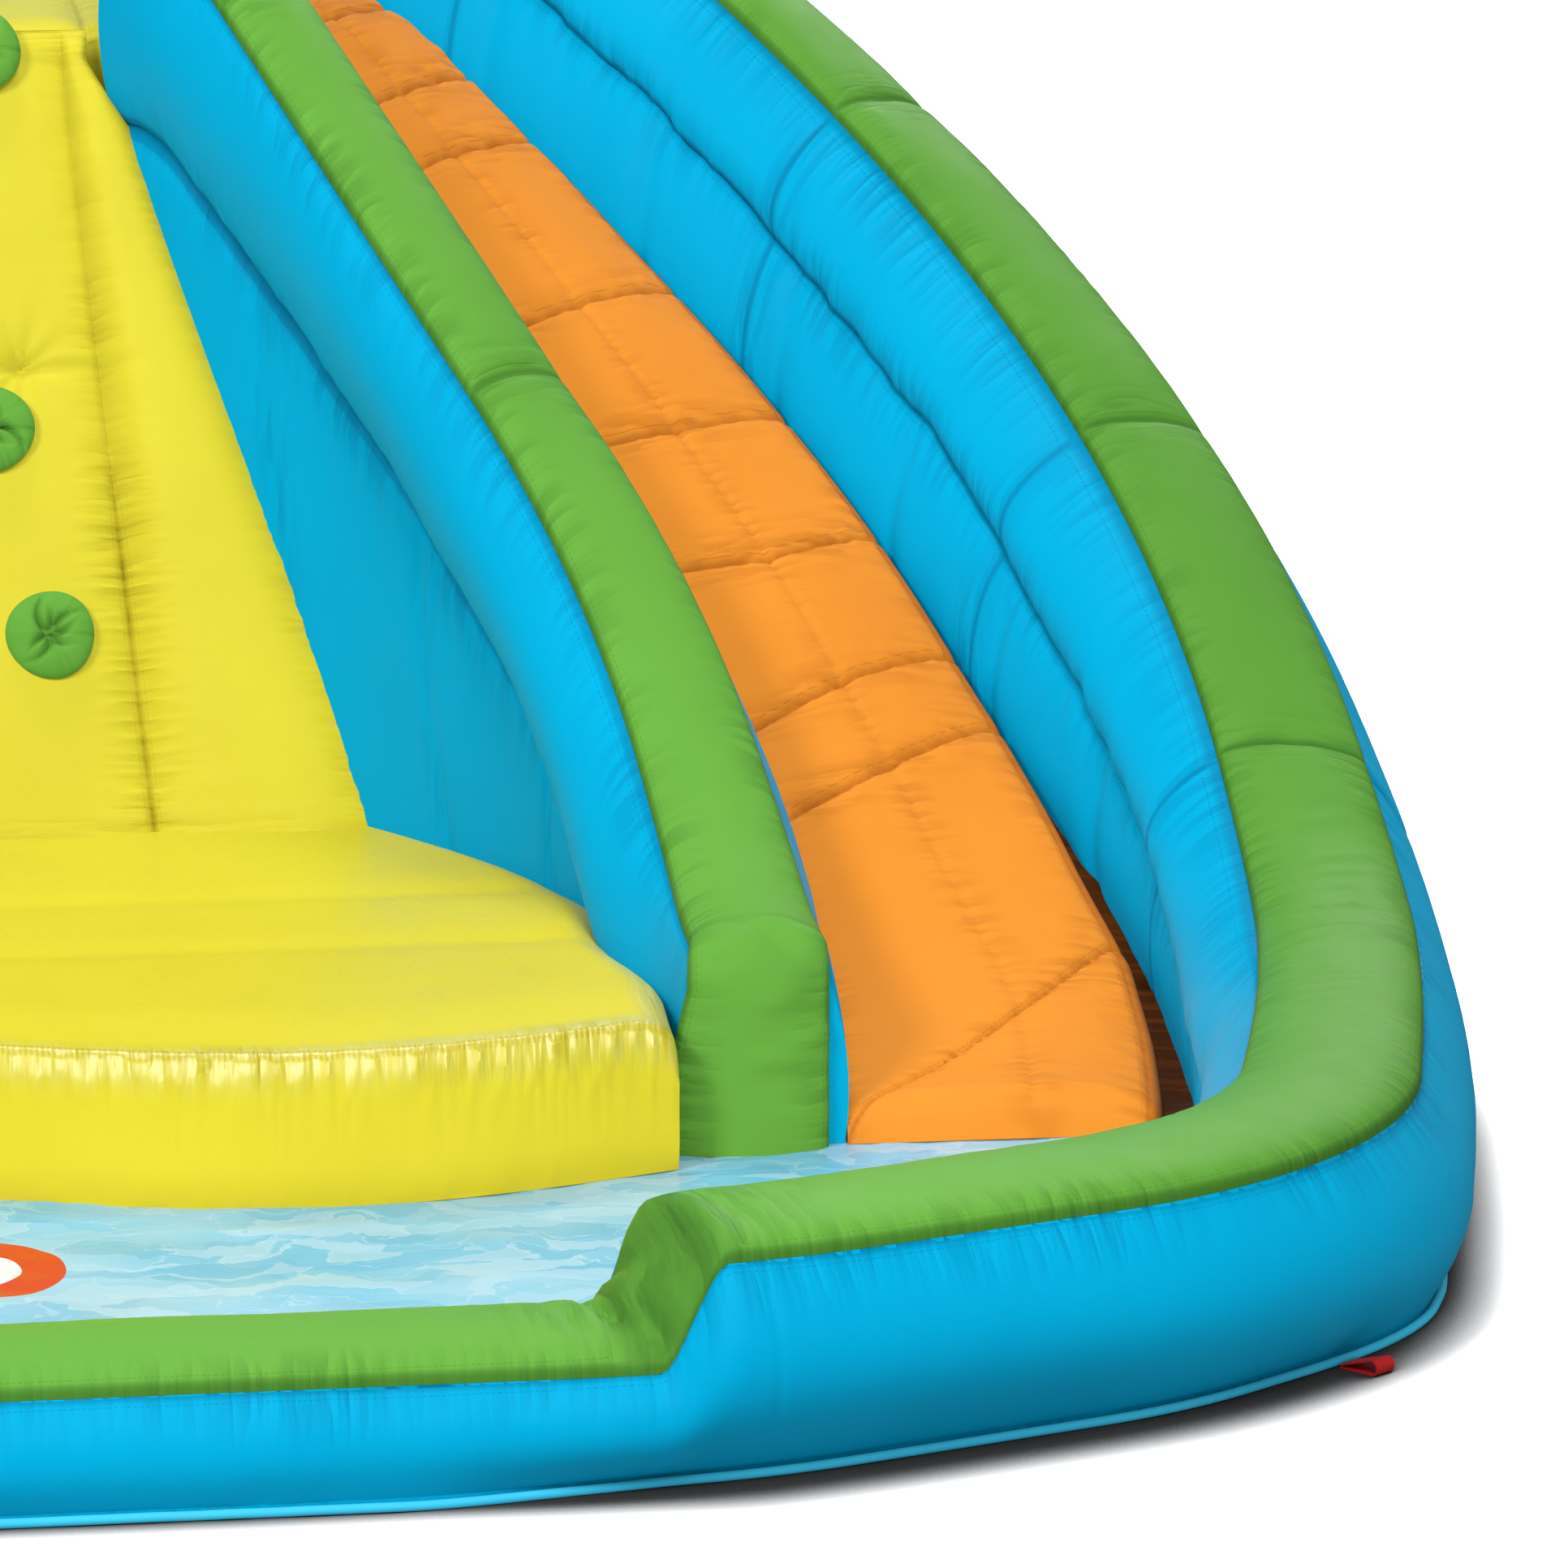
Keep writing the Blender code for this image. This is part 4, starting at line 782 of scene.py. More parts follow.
def outer_cap_skin(along, seed):
    along, side = along[:, None], ACROSS[None]
    half = cap_half(along)
    low, high = seam_height(along - STEP_SKEW), seam_height(along + STEP_SKEW)
    crown = np.full(along.shape, CROWN)
    for place in BACK_SEAMS:
        crown -= 0.012 * np.exp(-np.abs(along - place) / 0.05)
    rise = np.sqrt(np.maximum(1 - side**2, 0))
    level = blend(low, high, (side + 1) / 2) + GAP + CAP_BASE
    points = OUTER.beside(along, side * half, level + crown * rise)
    reach = (1 - np.abs(side)) * half * CAP_SPREAD
    cut = np.stack(np.broadcast_arrays(along, (side + 1) * half * CAP_SPREAD), axis=-1)
    amount = 0.0060 * gathers(along, reach, seed, 0.036, 0.035)
    corner = np.exp(-((along - CORNER_AT) / CORNER_REACH) ** 2)
    ripple = (1 - np.abs(field(along / 0.05 + side * 0.9, side * 0.7 + 9, seed + 3))) ** 4 - 0.2
    inner = 0.4 + 0.6 * np.clip(1 - np.abs(side + 0.1), 0, 1)
    amount += 0.009 * corner * ripple * inner
    step = np.exp(-((along - STEP_MIDDLE + 0.01) / 0.085) ** 2)
    amount += 0.020 * step * field(along / 0.020 + 1.6 * side, side * 0.9, seed + 4)
    amount += 0.003 * swells(along, reach, seed + 5, 0.2)
    # painted shade: a small seam distance over the step darkens it like a seam
    painted_step_shade = 0.003 + 0.30 * np.maximum(np.abs(along - STEP_MIDDLE) - 0.05, 0)
    seam = np.broadcast_to(np.minimum(reach, painted_step_shade), points.shape[:2])
    for place in BACK_SEAMS:
        to_seam = np.abs(along - place)
        amount -= 0.006 * crease(along, place, 0.007)
        amount += 0.004 * gathers(reach * 3 + side, to_seam, seed + 6, 0.06, 0.03)
        seam = np.minimum(seam, to_seam)
    points = points + outward(points) * (amount * rise)[..., None]
    under_high = np.linspace(high[:, 0], low[:, 0], 3).T + GAP
    under = OUTER.beside(along, np.linspace(half[:, 0], -half[:, 0], 3).T, under_high)
    points = np.concatenate([points, under, points[:, :1]], axis=1)
    cut = np.concatenate([cut, cut[:, [-1, 14, 0, 0]]], axis=1)
    seam = np.concatenate([seam, seam[:, [-1, 14, 0]] * 0, seam[:, :1]], axis=1)
    return points, cut, seam


cap_rows = with_cuts(stations(0, OUTER.length, 0.009, BACK_SEAMS))
sew_round(outer_cap_skin(cap_rows, 31), cap_rows, "cap", GREEN_WITH_PAINTED_SIDE_SHADE)
print("outer caps sewn")

# %% [markdown]
# ## The inner walls
#
# Between the climbing wall and each lane stands a wall of two tubes, with a deep groove on the
# climbing side. It runs down to the pool, where its green cap folds over its end to the floor.

# %% The inner wall's skin
INNER_DEPTH, INNER_LEAN = 0.34, 0.25
INNER_BAFFLES = (0.42, 0.80, 1.18, 1.56)
LANE_BASE, LANE_BULGE = 0.125, 0.62
END_RADIUS, FOOT_PUFF, FOOT_LEDGE = 0.05, 0.024, 0.012


def inner_top(along):
    into = np.maximum(END_RADIUS - along, 0)
    drop = END_RADIUS - np.sqrt(np.maximum(END_RADIUS**2 - into**2, 0))
    return inner_seam_height(np.maximum(along, END_RADIUS)) - drop


def inner_sides(along):
    """Height, depth, bulge and width at the foot of the inner wall at distances along."""
    high = inner_top(along)
    end = smooth(along / 0.50)
    base = blend(0.10, 0.110, end)
    base = blend(base, 0.05, smooth((along - 0.25) / 1.05))
    base = blend(base, 0.09, smooth((along - INNER.length + 0.60) / 0.60))
    depth = INNER_DEPTH + end * wander(along, 48, 0.17, 0.012, 0.06, 0.005)
    bulge = blend(0.02, 0.085, end) - 0.04 * smooth((along - 0.9) / 0.8)
    return high, np.minimum(depth, high - HEM_HEIGHT), bulge, base


def climb_side_aside(along, height):
    """How far aside the inner wall's climbing side stands at a height."""
    high, depth, bulge, base = inner_sides(along)
    share = np.clip((high - height) / depth, 0, 1)
    return blend(inner_cap_half(along), base, share) + bulge * arch(share)


def lane_side_aside(along, height):
    high, depth, bulge, _ = inner_sides(along)
    share = np.clip((high - height) / depth, 0, 1)
    return blend(inner_cap_half(along), LANE_BASE, share) + bulge * arch(share) * LANE_BULGE


def inner_skin(along):
    along = along[:, None]
    high, depth, bulge, base = inner_sides(along)
    half, under = inner_cap_half(along), high - depth
    share = TUBE[None]
    aside = blend(half, LANE_BASE, share) + bulge * arch(share) * LANE_BULGE
    lane = (-aside, high - depth * share, depth * share)
    share = LOWER[None, 1:]
    lane_low = (np.full((1, 16), -LANE_BASE), under * (1 - share), depth + under * share)
    share = 1 - LOWER[None, :-1]
    puff = FOOT_PUFF * np.clip(under / 0.5, 0, 1) * np.sin(np.pi * share) ** 0.7
    ledge = FOOT_LEDGE * smooth(along / 0.50) * smooth(under * share / 0.02)
    climb_low = (base + puff + ledge, under * (1 - share), depth + under * share)
    share = 1 - TUBE[None]
    aside = blend(half, base, share) + bulge * arch(share, 0.65)
    climb = (aside, high - depth * share, depth * share)
    aside = np.linspace(half[:, 0], -half[:, 0], 5).T[:, 1:]
    top = (aside, np.repeat(high, 4, 1), np.zeros((1, 4)))
    aside, height, down = joined((lane, lane_low, climb_low, climb, top))
    points = INNER.beside(along, aside, np.maximum(height, FLOOR_TOP + CLEAR))
    return points, np.stack([np.broadcast_to(along, down.shape), down], axis=-1)


inner_rows = stations(0.0, INNER.length, 0.007, INNER_BAFFLES)
points, cut = inner_skin(inner_rows)
down = cut[..., 1]
along = np.broadcast_to(inner_rows[:, None], down.shape)
tall = np.broadcast_to(inner_sides(inner_rows)[1][:, None], down.shape)
seam, amount = np.full(down.shape, FAR_OFF), 0.004 * swells(along, down, 41)
part = slice(0, LOWER_AT)
amount[:, part] += 0.004 * gathers(along[:, part], down[:, part], 42)
seam[:, part] = down[:, part]
# The climbing side has the same strips as the outer wall's inside, without the two bottom columns
part = slice(INSIDE_AT - 2, UPPER_AT - 2)
to_groove = down[:, part] - tall[:, part]
amount[:, part] += 0.016 * gathers(along[:, part], to_groove, 43, 0.030, 0.05)
# painted shade: negative seam values put a dark band along the groove
seam[:, part] = np.maximum(to_groove - 0.016, -0.012)
slant = along[:, part] + INNER_LEAN * down[:, part]
for place in INNER_BAFFLES:
    place = place + INNER_LEAN * INNER_DEPTH
    amount[:, part] -= 0.005 * crease(slant, place, 0.012)
    seam[:, part] = np.minimum(seam[:, part], 0.02 + np.abs(slant - place))
part = slice(UPPER_AT - 2, TOP_AT - 2)
to_groove, to_cap = tall[:, part] - down[:, part], down[:, part]
amount[:, part] += 0.012 * gathers(along[:, part], to_groove, 44, 0.036, 0.045)
amount[:, part] += 0.004 * gathers(along[:, part], to_cap, 45, 0.05, 0.04)
# painted shade: negative seam values darken the tube's underside at the groove
seam[:, part] = np.minimum(np.maximum(to_groove - 0.012, -0.010), to_cap)
amount[:, TOP_AT - 3:] = 0
amount[:, 0] = 0
amount *= np.clip(points[..., 2] / 0.05, 0, 1)
right = (points + outward(points) * amount[..., None], cut, seam)
sew_pair("slide_inner_wall", right, BLUE)
print("inner walls", points.shape[:2])

# %% The inner cap, folded over the wall's end
INNER_SEAMS = (1.0, 1.62)
EDGE_FALL = 0.0055


def inner_cap_skin():
    half = float(inner_cap_half(0.0))
    centre = float(inner_seam_height(END_RADIUS)) - END_RADIUS
    drop = centre - FLOOR_TOP - GAP
    folds = [(math.pi / 2, drop * share) for share in np.linspace(1, 0, 34)[:-1]]
    folds += [(turn, 0) for turn in np.linspace(math.pi / 2, 0, 12)[:-1]]
    rise = np.sqrt(np.maximum(1 - ACROSS**2, 0))
    rings, flats, lift = [], [], []

    def add_ring(along, run, wide, flat_wide, shift, height, out, thick):
        line = INNER.beside(along, ACROSS * wide + shift, height)
        rings.append(line + out * (CAP_BASE + thick * rise)[:, None])
        spread = (ACROSS + 1) * flat_wide * CAP_SPREAD
        flats.append(np.stack([np.full(len(ACROSS), run), spread], axis=-1))
        lift.append(out)

    for turn, down in folds:
        along = END_RADIUS * (1 - math.sin(turn))
        heading = float(INNER.at(along)[2])
        level = -math.sin(turn)
        out = np.array([math.cos(heading) * level, math.sin(heading) * level, math.cos(turn)])
        full = math.sin(turn) * math.sin(math.pi * min(down / drop + 0.18, 1) * 0.5)
        height = centre - down + END_RADIUS * math.cos(turn)
        run = -END_RADIUS * turn - down
        add_ring(along, run, half + 0.020 * full, half, 0.021 * full, height, out, CROWN)
    for along in stations(END_RADIUS, INNER.length, 0.009, INNER_SEAMS):
        thick = CROWN - 0.012 * max(math.exp(-abs(along - place) / 0.05) for place in INNER_SEAMS)
        wide = float(inner_cap_half(along))
        height = float(inner_seam_height(along)) + GAP
        add_ring(along, along, wide, wide, 0, height, np.array([0, 0, 1.0]), thick)
    points, cut, lift = np.array(rings), np.array(flats), np.array(lift)
    run, side = cut[..., 0], ACROSS[None]
    reach = np.broadcast_to((1 - np.abs(side)) * 0.11, run.shape)
    amount = 0.0055 * gathers(run, reach, 51, 0.036, 0.035) + 0.003 * swells(run, reach, 52, 0.2)
    fold = np.exp(-((run + 0.10) / 0.16) ** 2) * smooth((0.35 - side) / 1.2)
    amount += 0.016 * fold * field(run / 0.030, side * 1.2 + 5, 53)
    amount -= 0.010 * crease(run - 0.05 * side, -0.02, 0.012)
    seam = reach
    for place in INNER_SEAMS:
        amount -= 0.006 * crease(run, place, 0.007)
        seam = np.minimum(seam, np.abs(run - place))
    points = points + outward(points) * (amount * rise[None])[..., None]
    edges = points[:, [28, 0]] - lift[:, None] * EDGE_FALL
    points = np.concatenate([points, edges, points[:, :1]], axis=1)
    closing = [28, 0, 0]
    cut = np.concatenate([cut, cut[:, closing]], axis=1)
    return points, cut, np.concatenate([seam, seam[:, closing]], axis=1)


right = inner_cap_skin()
sew_pair("slide_inner_cap", right, GREEN)
print("inner caps", right[0].shape[:2])

# %% [markdown]
# ## The lanes
#
# Each orange lane is a padded bed with a sewn line along its middle and slanting seams across
# it, and the cloth gathers hard along its outer edge. Beside that edge the bed rolls down into
# a gap before the wall's lower tube, dark from real shade and from painted shade on the roll and
# the strip beyond it.

# %% The slide beds
# Share of the run, and the share of the width where the bed's edge and its middle line lie there
BED_EDGE = (
    (0.0, 0.675), (0.107, 0.695), (0.18, 0.70), (0.25, 0.668), (0.32, 0.65), (0.40, 0.633),
    (1.0, 0.64),
)
BED_MIDDLE = ((0.0, 0.62), (0.13, 0.62), (0.20, 0.56), (0.28, 0.52), (0.36, 0.50), (1.0, 0.50))
# Shares of the run at the left edge, the middle line and the right edge of each cross seam
BED_SEAMS = (
    (0.0, 0.125, 0.190), (0.295, 0.322, 0.352), (0.36, 0.385, 0.405), (0.487, 0.480, 0.495),
    (0.583, 0.583, 0.590), (0.675, 0.685, 0.695), (0.80, 0.812, 0.82), (0.855, 0.865, 0.875),
    (0.93, 0.935, 0.94),
)
BED_RUN, BED_START, BED_WIDTH_SHARE = 2.77, 0.02, 0.55
BED_NOSE, BED_PUFF, EDGE_ROLL, GAP_WIDTH = 0.022, 0.034, 0.022, 0.085


def bed_skin():
    finer = [np.linspace(0, 1, 420), np.linspace(0.1, 0.2, 60), np.linspace(0, BED_NOSE, 14)]
    share = np.unique(np.round(np.concatenate(finer), 5))
    left = INNER.beside(share * INNER.length, 0, 0)
    right = OUTER.beside(SLIDE_START + BED_START + share * BED_RUN, 0, 0)
    nose = 1 - np.minimum(share / BED_NOSE, 1)
    high = bed_height(share) * np.sqrt(np.clip(1 - nose**2, 0.0, 1))
    round_end = (high / bed_height(share))[:, None]
    wide = np.linalg.norm(right - left, axis=1)
    start = lane_side_aside(share * INNER.length, high) / wide * 1.02
    edge = np.interp(share, *zip(*BED_EDGE))
    column = np.linspace(0, 1, 61)[None]
    across = blend(start[:, None], edge[:, None], column)
    middle = np.interp(share, *zip(*BED_MIDDLE))[:, None]
    lane = np.where(column < middle, column / middle, (1 - column) / (1 - middle))
    share, column = np.broadcast_arrays(share[:, None], column)
    flat_wide = wide[:, None] * BED_WIDTH_SHARE
    run, aside = share * BED_RUN, column * wide[:, None] * BED_WIDTH_SHARE
    to_right, to_middle = flat_wide * (1 - column), np.abs(column - middle) * flat_wide
    nearest = np.full(across.shape, 9.0)
    for low, mid, top in BED_SEAMS:
        rest = (column - middle) / (1 - middle)
        line = np.where(column < middle, blend(low, mid, column / middle), blend(mid, top, rest))
        nearest = np.minimum(nearest, np.abs(share - line) * BED_RUN)
    puff = BED_PUFF * np.sqrt(np.maximum(np.sin(np.pi * lane / 2), 0))
    puff -= 0.005 * np.exp(-to_middle / 0.008)
    puff *= (1 - 0.28 * np.exp(-nearest / 0.022))
    puff -= 0.012 * np.exp(-((nearest / 0.0055) ** 1.4))
    puff += 0.013 * gathers(run, to_right, 61, 0.036, 0.045)
    puff += 0.003 * gathers(run, to_middle, 62, 0.04, 0.04)
    puff += 0.006 * gathers(run, aside, 63, 0.05, 0.04) + 0.004 * swells(run, aside, 64, 0.25)
    puff += 0.006 * gathers(aside, nearest, 65, 0.05, 0.05)
    points = left[:, None] + (right - left)[:, None] * across[..., None]
    points[..., 2] = np.maximum(high[:, None] + puff * round_end, FLOOR_TOP + 2 * CLEAR)

    way = ((right - left) / wide[:, None])[:, None]
    roll = np.linspace(0, math.pi / 2, 9)[1:]
    radius = np.minimum(EDGE_ROLL, high * 0.4)[:, None]
    side = np.repeat(points[:, -1:], 8, axis=1) + way * (radius * np.sin(roll))[..., None]
    side[..., 2] -= radius * (1 - np.cos(roll)) * 1.6
    web = side[:, -1:] + way * np.linspace(0.004, GAP_WIDTH, 6)[None, :, None]
    web[..., 2] = np.maximum(web[..., 2] - np.linspace(0.025, 0.035, 6), FLOOR_TOP + 1.5 * CLEAR)
    feet = np.concatenate([web[:, -1:], points[:, :1]], axis=1)
    feet[..., 2] = np.stack([web[:, -1, 2] - 0.10, high - 0.16], axis=1)
    feet[..., 2] = np.maximum(feet[..., 2], FLOOR_TOP + CLEAR)
    side[..., 2] = np.maximum(side[..., 2], FLOOR_TOP + 2 * CLEAR)
    points = np.concatenate([points, side, web, feet, points[:, :1]], axis=1)
    cut = np.stack([run, aside], axis=-1)
    cut = np.concatenate([cut, cut[:, [60] * 15 + [0, 0]]], axis=1)
    seam = np.minimum(np.minimum(to_right, to_middle + 0.013), np.minimum(nearest, aside + 0.01))
    # painted shade: the edge roll and the strip beyond it get negative seam values, which paint
    # them very dark
    painted_gap_shade = np.concatenate([np.linspace(0, -0.014, 8), np.full(7, -0.02), [0, 0]])
    return points, cut, np.concatenate([seam, np.tile(painted_gap_shade, (len(seam), 1))], axis=1)


right = bed_skin()
sew_pair("slide_bed", right, ORANGE)
print("beds", right[0].shape[:2])

# %% [markdown]
# ## The climbing wall
#
# A yellow wall leans back from the landing to the deck. A sewn line on either side divides it
# into a broad middle and two side chambers, and its lower part is gathered tightly into pleats.

# %% The climbing wall's skin
TUFTS = ((0.0, 0.78), (0.215, 0.935))
TUFT_REACH, CLIMB_LENGTH, CLIMB_ROLL = 0.22, 1.28, 0.09
# The sewn line's distance from the middle at the foot and at the top, and how far the parts puff
LINE_FOOT, LINE_TOP, MIDDLE_CROWN, SIDE_CROWN, EDGE_CLEAR = 0.40, 0.30, 0.055, 0.062, 0.016


def climbing_skin():
    share = np.linspace(0, 1, 290)
    height = blend(LANDING_HEIGHT - 0.02, DECK_HEIGHT - 0.05, share)
    y = CLIMB_Y + (height - LANDING_HEIGHT) / math.tan(INCLINE)
    edge_along = INNER.along_at_y(y)
    edge = INNER.at(edge_along)[0] - climb_side_aside(edge_along, height) - EDGE_CLEAR
    share, height, y, edge = [item[:, None] for item in (share, height, y, edge)]
    line = blend(LINE_FOOT, LINE_TOP, share)
    middle_part, side_part = np.linspace(0, 1, 45)[None], eased(34, 0.6)[None, 1:]
    x = np.concatenate([middle_part * line, line + (edge - line) * side_part], axis=1)
    centre = np.concatenate([middle_part, np.ones((1, 33))], axis=1)
    side = np.concatenate([np.zeros((1, 45)), side_part], axis=1)
    crown = MIDDLE_CROWN * np.sqrt(np.maximum(1 - centre**2, 0))
    crown += SIDE_CROWN * (1 - np.abs(2 * side - 1) ** 3.4)
    run = np.broadcast_to(share * CLIMB_LENGTH, x.shape)
    to_line, to_edge = np.abs(x - line), np.maximum(edge - x, 0)
    low = 0.30 + 1.2 * smooth((0.50 - share) / 0.40)
    tight = smooth((0.62 - share) / 0.25)
    amount = crown * arch(blend(0.06, 0.94, share), 1.0)
    amount += 0.010 * low * gathers(run, to_line, 71, 0.034, 0.03)
    amount += 0.021 * tight * gathers(run, to_line, 78, 0.0165, 0.026)
    amount += 0.018 * tight * gathers(run, to_edge, 79, 0.0175, 0.022)
    amount += 0.012 * low * gathers(run, to_edge, 72, 0.038, 0.03)
    amount += 0.005 * swells(run, x, 73, 0.3) * np.clip(to_line / 0.05, 0, 1)
    amount += 0.006 * gathers(x, run, 74, 0.05, 0.05)
    seam = np.minimum(to_line + 0.022 * (1 - tight), to_edge + 0.02 * (1 - tight))
    seam = np.minimum(seam, run + 0.004)
    for tuft_x, tuft_height in TUFTS:
        beside, above = x - tuft_x, height - tuft_height
        away = np.hypot(beside, above / math.sin(INCLINE))
        star = np.sin(9 * np.arctan2(above, beside))
        amount = amount - 0.028 * np.exp(-away / 0.03) + 0.004 * np.exp(-away / 0.06) * star
        fade = np.clip(1 - np.abs(beside) / TUFT_REACH, 0, 1)
        amount -= 0.010 * crease(height, tuft_height, 0.010) * fade
    lean = np.array([0, -math.sin(INCLINE), math.cos(INCLINE)])
    points = np.stack(np.broadcast_arrays(x, y, height), axis=-1) + lean * amount[..., None]
    cut = np.stack([run, x], axis=-1)

    turn = np.linspace(0, 1, 8)[1:, None]
    rolled = np.repeat(points[-1:], 7, axis=0)
    rolled[..., 1] = blend(points[-1:, :, 1], DECK_Y - 2 * CLEAR, smooth(turn))
    rolled[..., 2] = blend(points[-1:, :, 2], DECK_HEIGHT, np.sin(turn * math.pi / 2))
    flats = np.stack(np.broadcast_arrays(run[-1:] + CLIMB_ROLL * turn, x[-1:]), axis=-1)
    seams = np.minimum(seam[-1:], CLIMB_ROLL * (1 - turn))
    front, back = points[:1].copy(), np.concatenate([rolled[-1:], points[:1]])
    front[..., 1], front[..., 2] = CLIMB_Y, FLOOR_TOP + CLEAR
    back[..., 1] = DECK_Y - 2 * CLEAR
    back[..., 2] = np.array([DECK_HEIGHT - 0.12, FLOOR_TOP + CLEAR])[:, None]
    points = np.concatenate([front, points, rolled, back])
    cut = np.concatenate([cut[:1], cut, flats, flats[-1:], cut[:1]])
    seam = np.concatenate([seam[:1], seam, seams, seams[-1:], seam[:1]])
    return points, cut, seam


# Rows become columns, and the first one is repeated, so that the panel closes on itself
turned = [np.swapaxes(grid, 0, 1) for grid in climbing_skin()]
skin = [np.concatenate([g, g[:, :1]], axis=1) for g in both_halves(*turned, flip=(1, -1))]
sew("climbing_wall_skin", "climbing_wall", skin, YELLOW)
print("climbing wall", skin[0].shape[:2])

# %% [markdown]
# ## The landing
#
# A low yellow block at the foot of the climbing wall. Its front edge swells out in a lobe on
# either side, channels run across its top, and the cloth is pleated where the top meets the front.

# %% The landing's skin
CHANNELS = (1.88, 2.20)
LIP, FOOT_ROLL, FACE_LENGTH = 0.080, 0.07, 0.24
LANDING_FRONT_Y, LOBE, SIDE_EASE, EVEN_REACH = FRONT_Y + 1.383, 0.135, 0.25, 14


def landing_skin():
    across = np.concatenate([np.linspace(0, 0.9, 176), np.linspace(0.9, 1.0, 26)[1:]])[:, None]
    front = LANDING_FRONT_Y - LOBE * np.sin(np.pi * across)
    rolled = np.clip((across - 0.93) / 0.07, 0, 1)
    side_fall = 0.05 * (1 - np.sqrt(np.maximum(1 - rolled**2, 0)))
    y = blend(front + 0.035, CLIMB_Y - CLEAR, np.linspace(0, 1, 104)[None])
    into = np.clip((y - LANDING_SIDE_Y) / SIDE_EASE, 0, 1)
    beside = INNER.along_at_y(y)
    limit = INNER.at(beside)[0] - climb_side_aside(np.maximum(beside, 0.0), 0.20)
    narrow = blend(LANDING_HALF, limit, smooth(into * 2))
    narrow = np.minimum(narrow, np.maximum(limit, 0.4) + 0.004)
    reach = np.where(y > LANDING_SIDE_Y, narrow, LANDING_HALF)
    kernel = np.exp(-0.5 * (np.arange(-EVEN_REACH, EVEN_REACH + 1) / 5.0) ** 2)
    wider = np.pad(reach, ((0, 0), (EVEN_REACH, EVEN_REACH)), mode="edge")
    reach = np.array([np.convolve(row, kernel / kernel.sum(), mode="valid") for row in wider])
    x, from_front = across * reach, y - front
    to_side = np.maximum(reach - x, 0)
    channel = np.full(y.shape, 9.0)
    for depth in CHANNELS:
        channel = np.minimum(channel, np.abs(y - FRONT_Y - depth))
    high = LANDING_HEIGHT - side_fall + 0.012 * smooth(from_front / 0.25)
    high -= 0.009 * np.exp(-((channel / 0.050) ** 1.5)) * np.clip(to_side / 0.12, 0, 1)
    high += 0.001 * gathers(x, channel, 81, 0.06, 0.03)
    high += 0.002 * gathers(y, to_side, 82, 0.05, 0.05)
    high += 0.0025 * gathers(x, np.maximum(from_front - 0.03, 0), 83, 0.04, 0.03)
    top = np.stack([x, y, high], axis=-1)

    crest_x, crest_z = x[:, :1], high[:, :1]
    step = (1 - (1 - np.linspace(0, 1, 38)[:-1]) ** 1.5)[None]
    below = np.broadcast_to((1 - step) * FACE_LENGTH, (len(across), step.size))
    over = np.maximum(1 - (1 - step) * LANDING_HEIGHT / LIP, 0)
    under = np.maximum(1 - step * LANDING_HEIGHT / FOOT_ROLL, 0)
    bulge = 0.035 * (1 - np.sqrt(np.maximum(1 - over**2, 0))) + 0.016 * under**2
    pleat = gathers(crest_x, below, 84, 0.017, 0.055) * 0.018 * smooth(below / 0.014)
    foot = gathers(crest_x, FACE_LENGTH - below, 85, 0.05, 0.04) * 0.006
    face_y, face_z = front + bulge - pleat - foot, blend(FLOOR_TOP + CLEAR, crest_z, step)
    face = np.stack(np.broadcast_arrays(crest_x, face_y, face_z), axis=-1)
    run = np.concatenate([-below, from_front], axis=1)
    back = top[:, -1:].copy()
    back[..., 2] = FLOOR_TOP + CLEAR
    points = np.concatenate([face, top, back, face[:, :1]], axis=1)
    cut_x = np.concatenate([np.repeat(crest_x, step.size, 1), x], axis=1)
    cut = np.stack([cut_x, run], axis=-1)
    inward = np.minimum(np.maximum(run - 0.035, 0) * 1.6 + 0.011, 9)
    edge = np.where(run < 0, np.maximum(-run, 0.011), inward)
    side = np.concatenate([np.full(below.shape, 9.0), to_side + 0.012], axis=1)
    seam = np.minimum(edge, side)
    cut, seam = [np.concatenate([g, g[:, -1:], g[:, :1]], axis=1) for g in (cut, seam)]
    return points, cut, seam


skin = both_halves(*landing_skin())
sew("landing_skin", "landing_platform", skin, GLOSSY_YELLOW)
print("landing", skin[0].shape[:2])

# %% [markdown]
# ## The deck at the top
#
# Behind the climbing wall is a flat padded deck over a tall chamber. The deck has a free outline
# between the walls, so a grid doesn't suit it. It is made the way a cushion is: a copy of the
# solid is remeshed evenly, blown up with the cloth simulation, and its channels are pressed in.

# %% Copy, remesh and blow up the deck
CHANNEL_SPACING, MOST_BULGE = 0.17, 0.012
PRESSURE, FRAMES = 4.0, 20


def merged_copy(node, name):
    """A copy of a CAD node whose loose triangles are joined up."""
    mesh = frame["nodes"][node].data.copy()
    piece = bpy.data.objects.new(name, mesh)
    bpy.context.scene.collection.objects.link(piece)
    mesh.name = name
    mesh.materials.clear()
    select_only(piece)
    merge(0.00005)
    return piece


def remesh(piece, voxel):
    change = piece.modifiers.new("even faces", "REMESH")
    change.mode = "VOXEL"
    change.voxel_size = voxel
    bpy.ops.object.modifier_apply(modifier=change.name)


def corners_of(piece):
    points = np.empty(len(piece.data.vertices) * 3, np.float32)
    piece.data.vertices.foreach_get("co", points)
    return points.reshape(-1, 3).astype(float)


def move_corners(piece, points):
    piece.data.vertices.foreach_set("co", points.reshape(-1).astype(np.float32))
    piece.data.update()


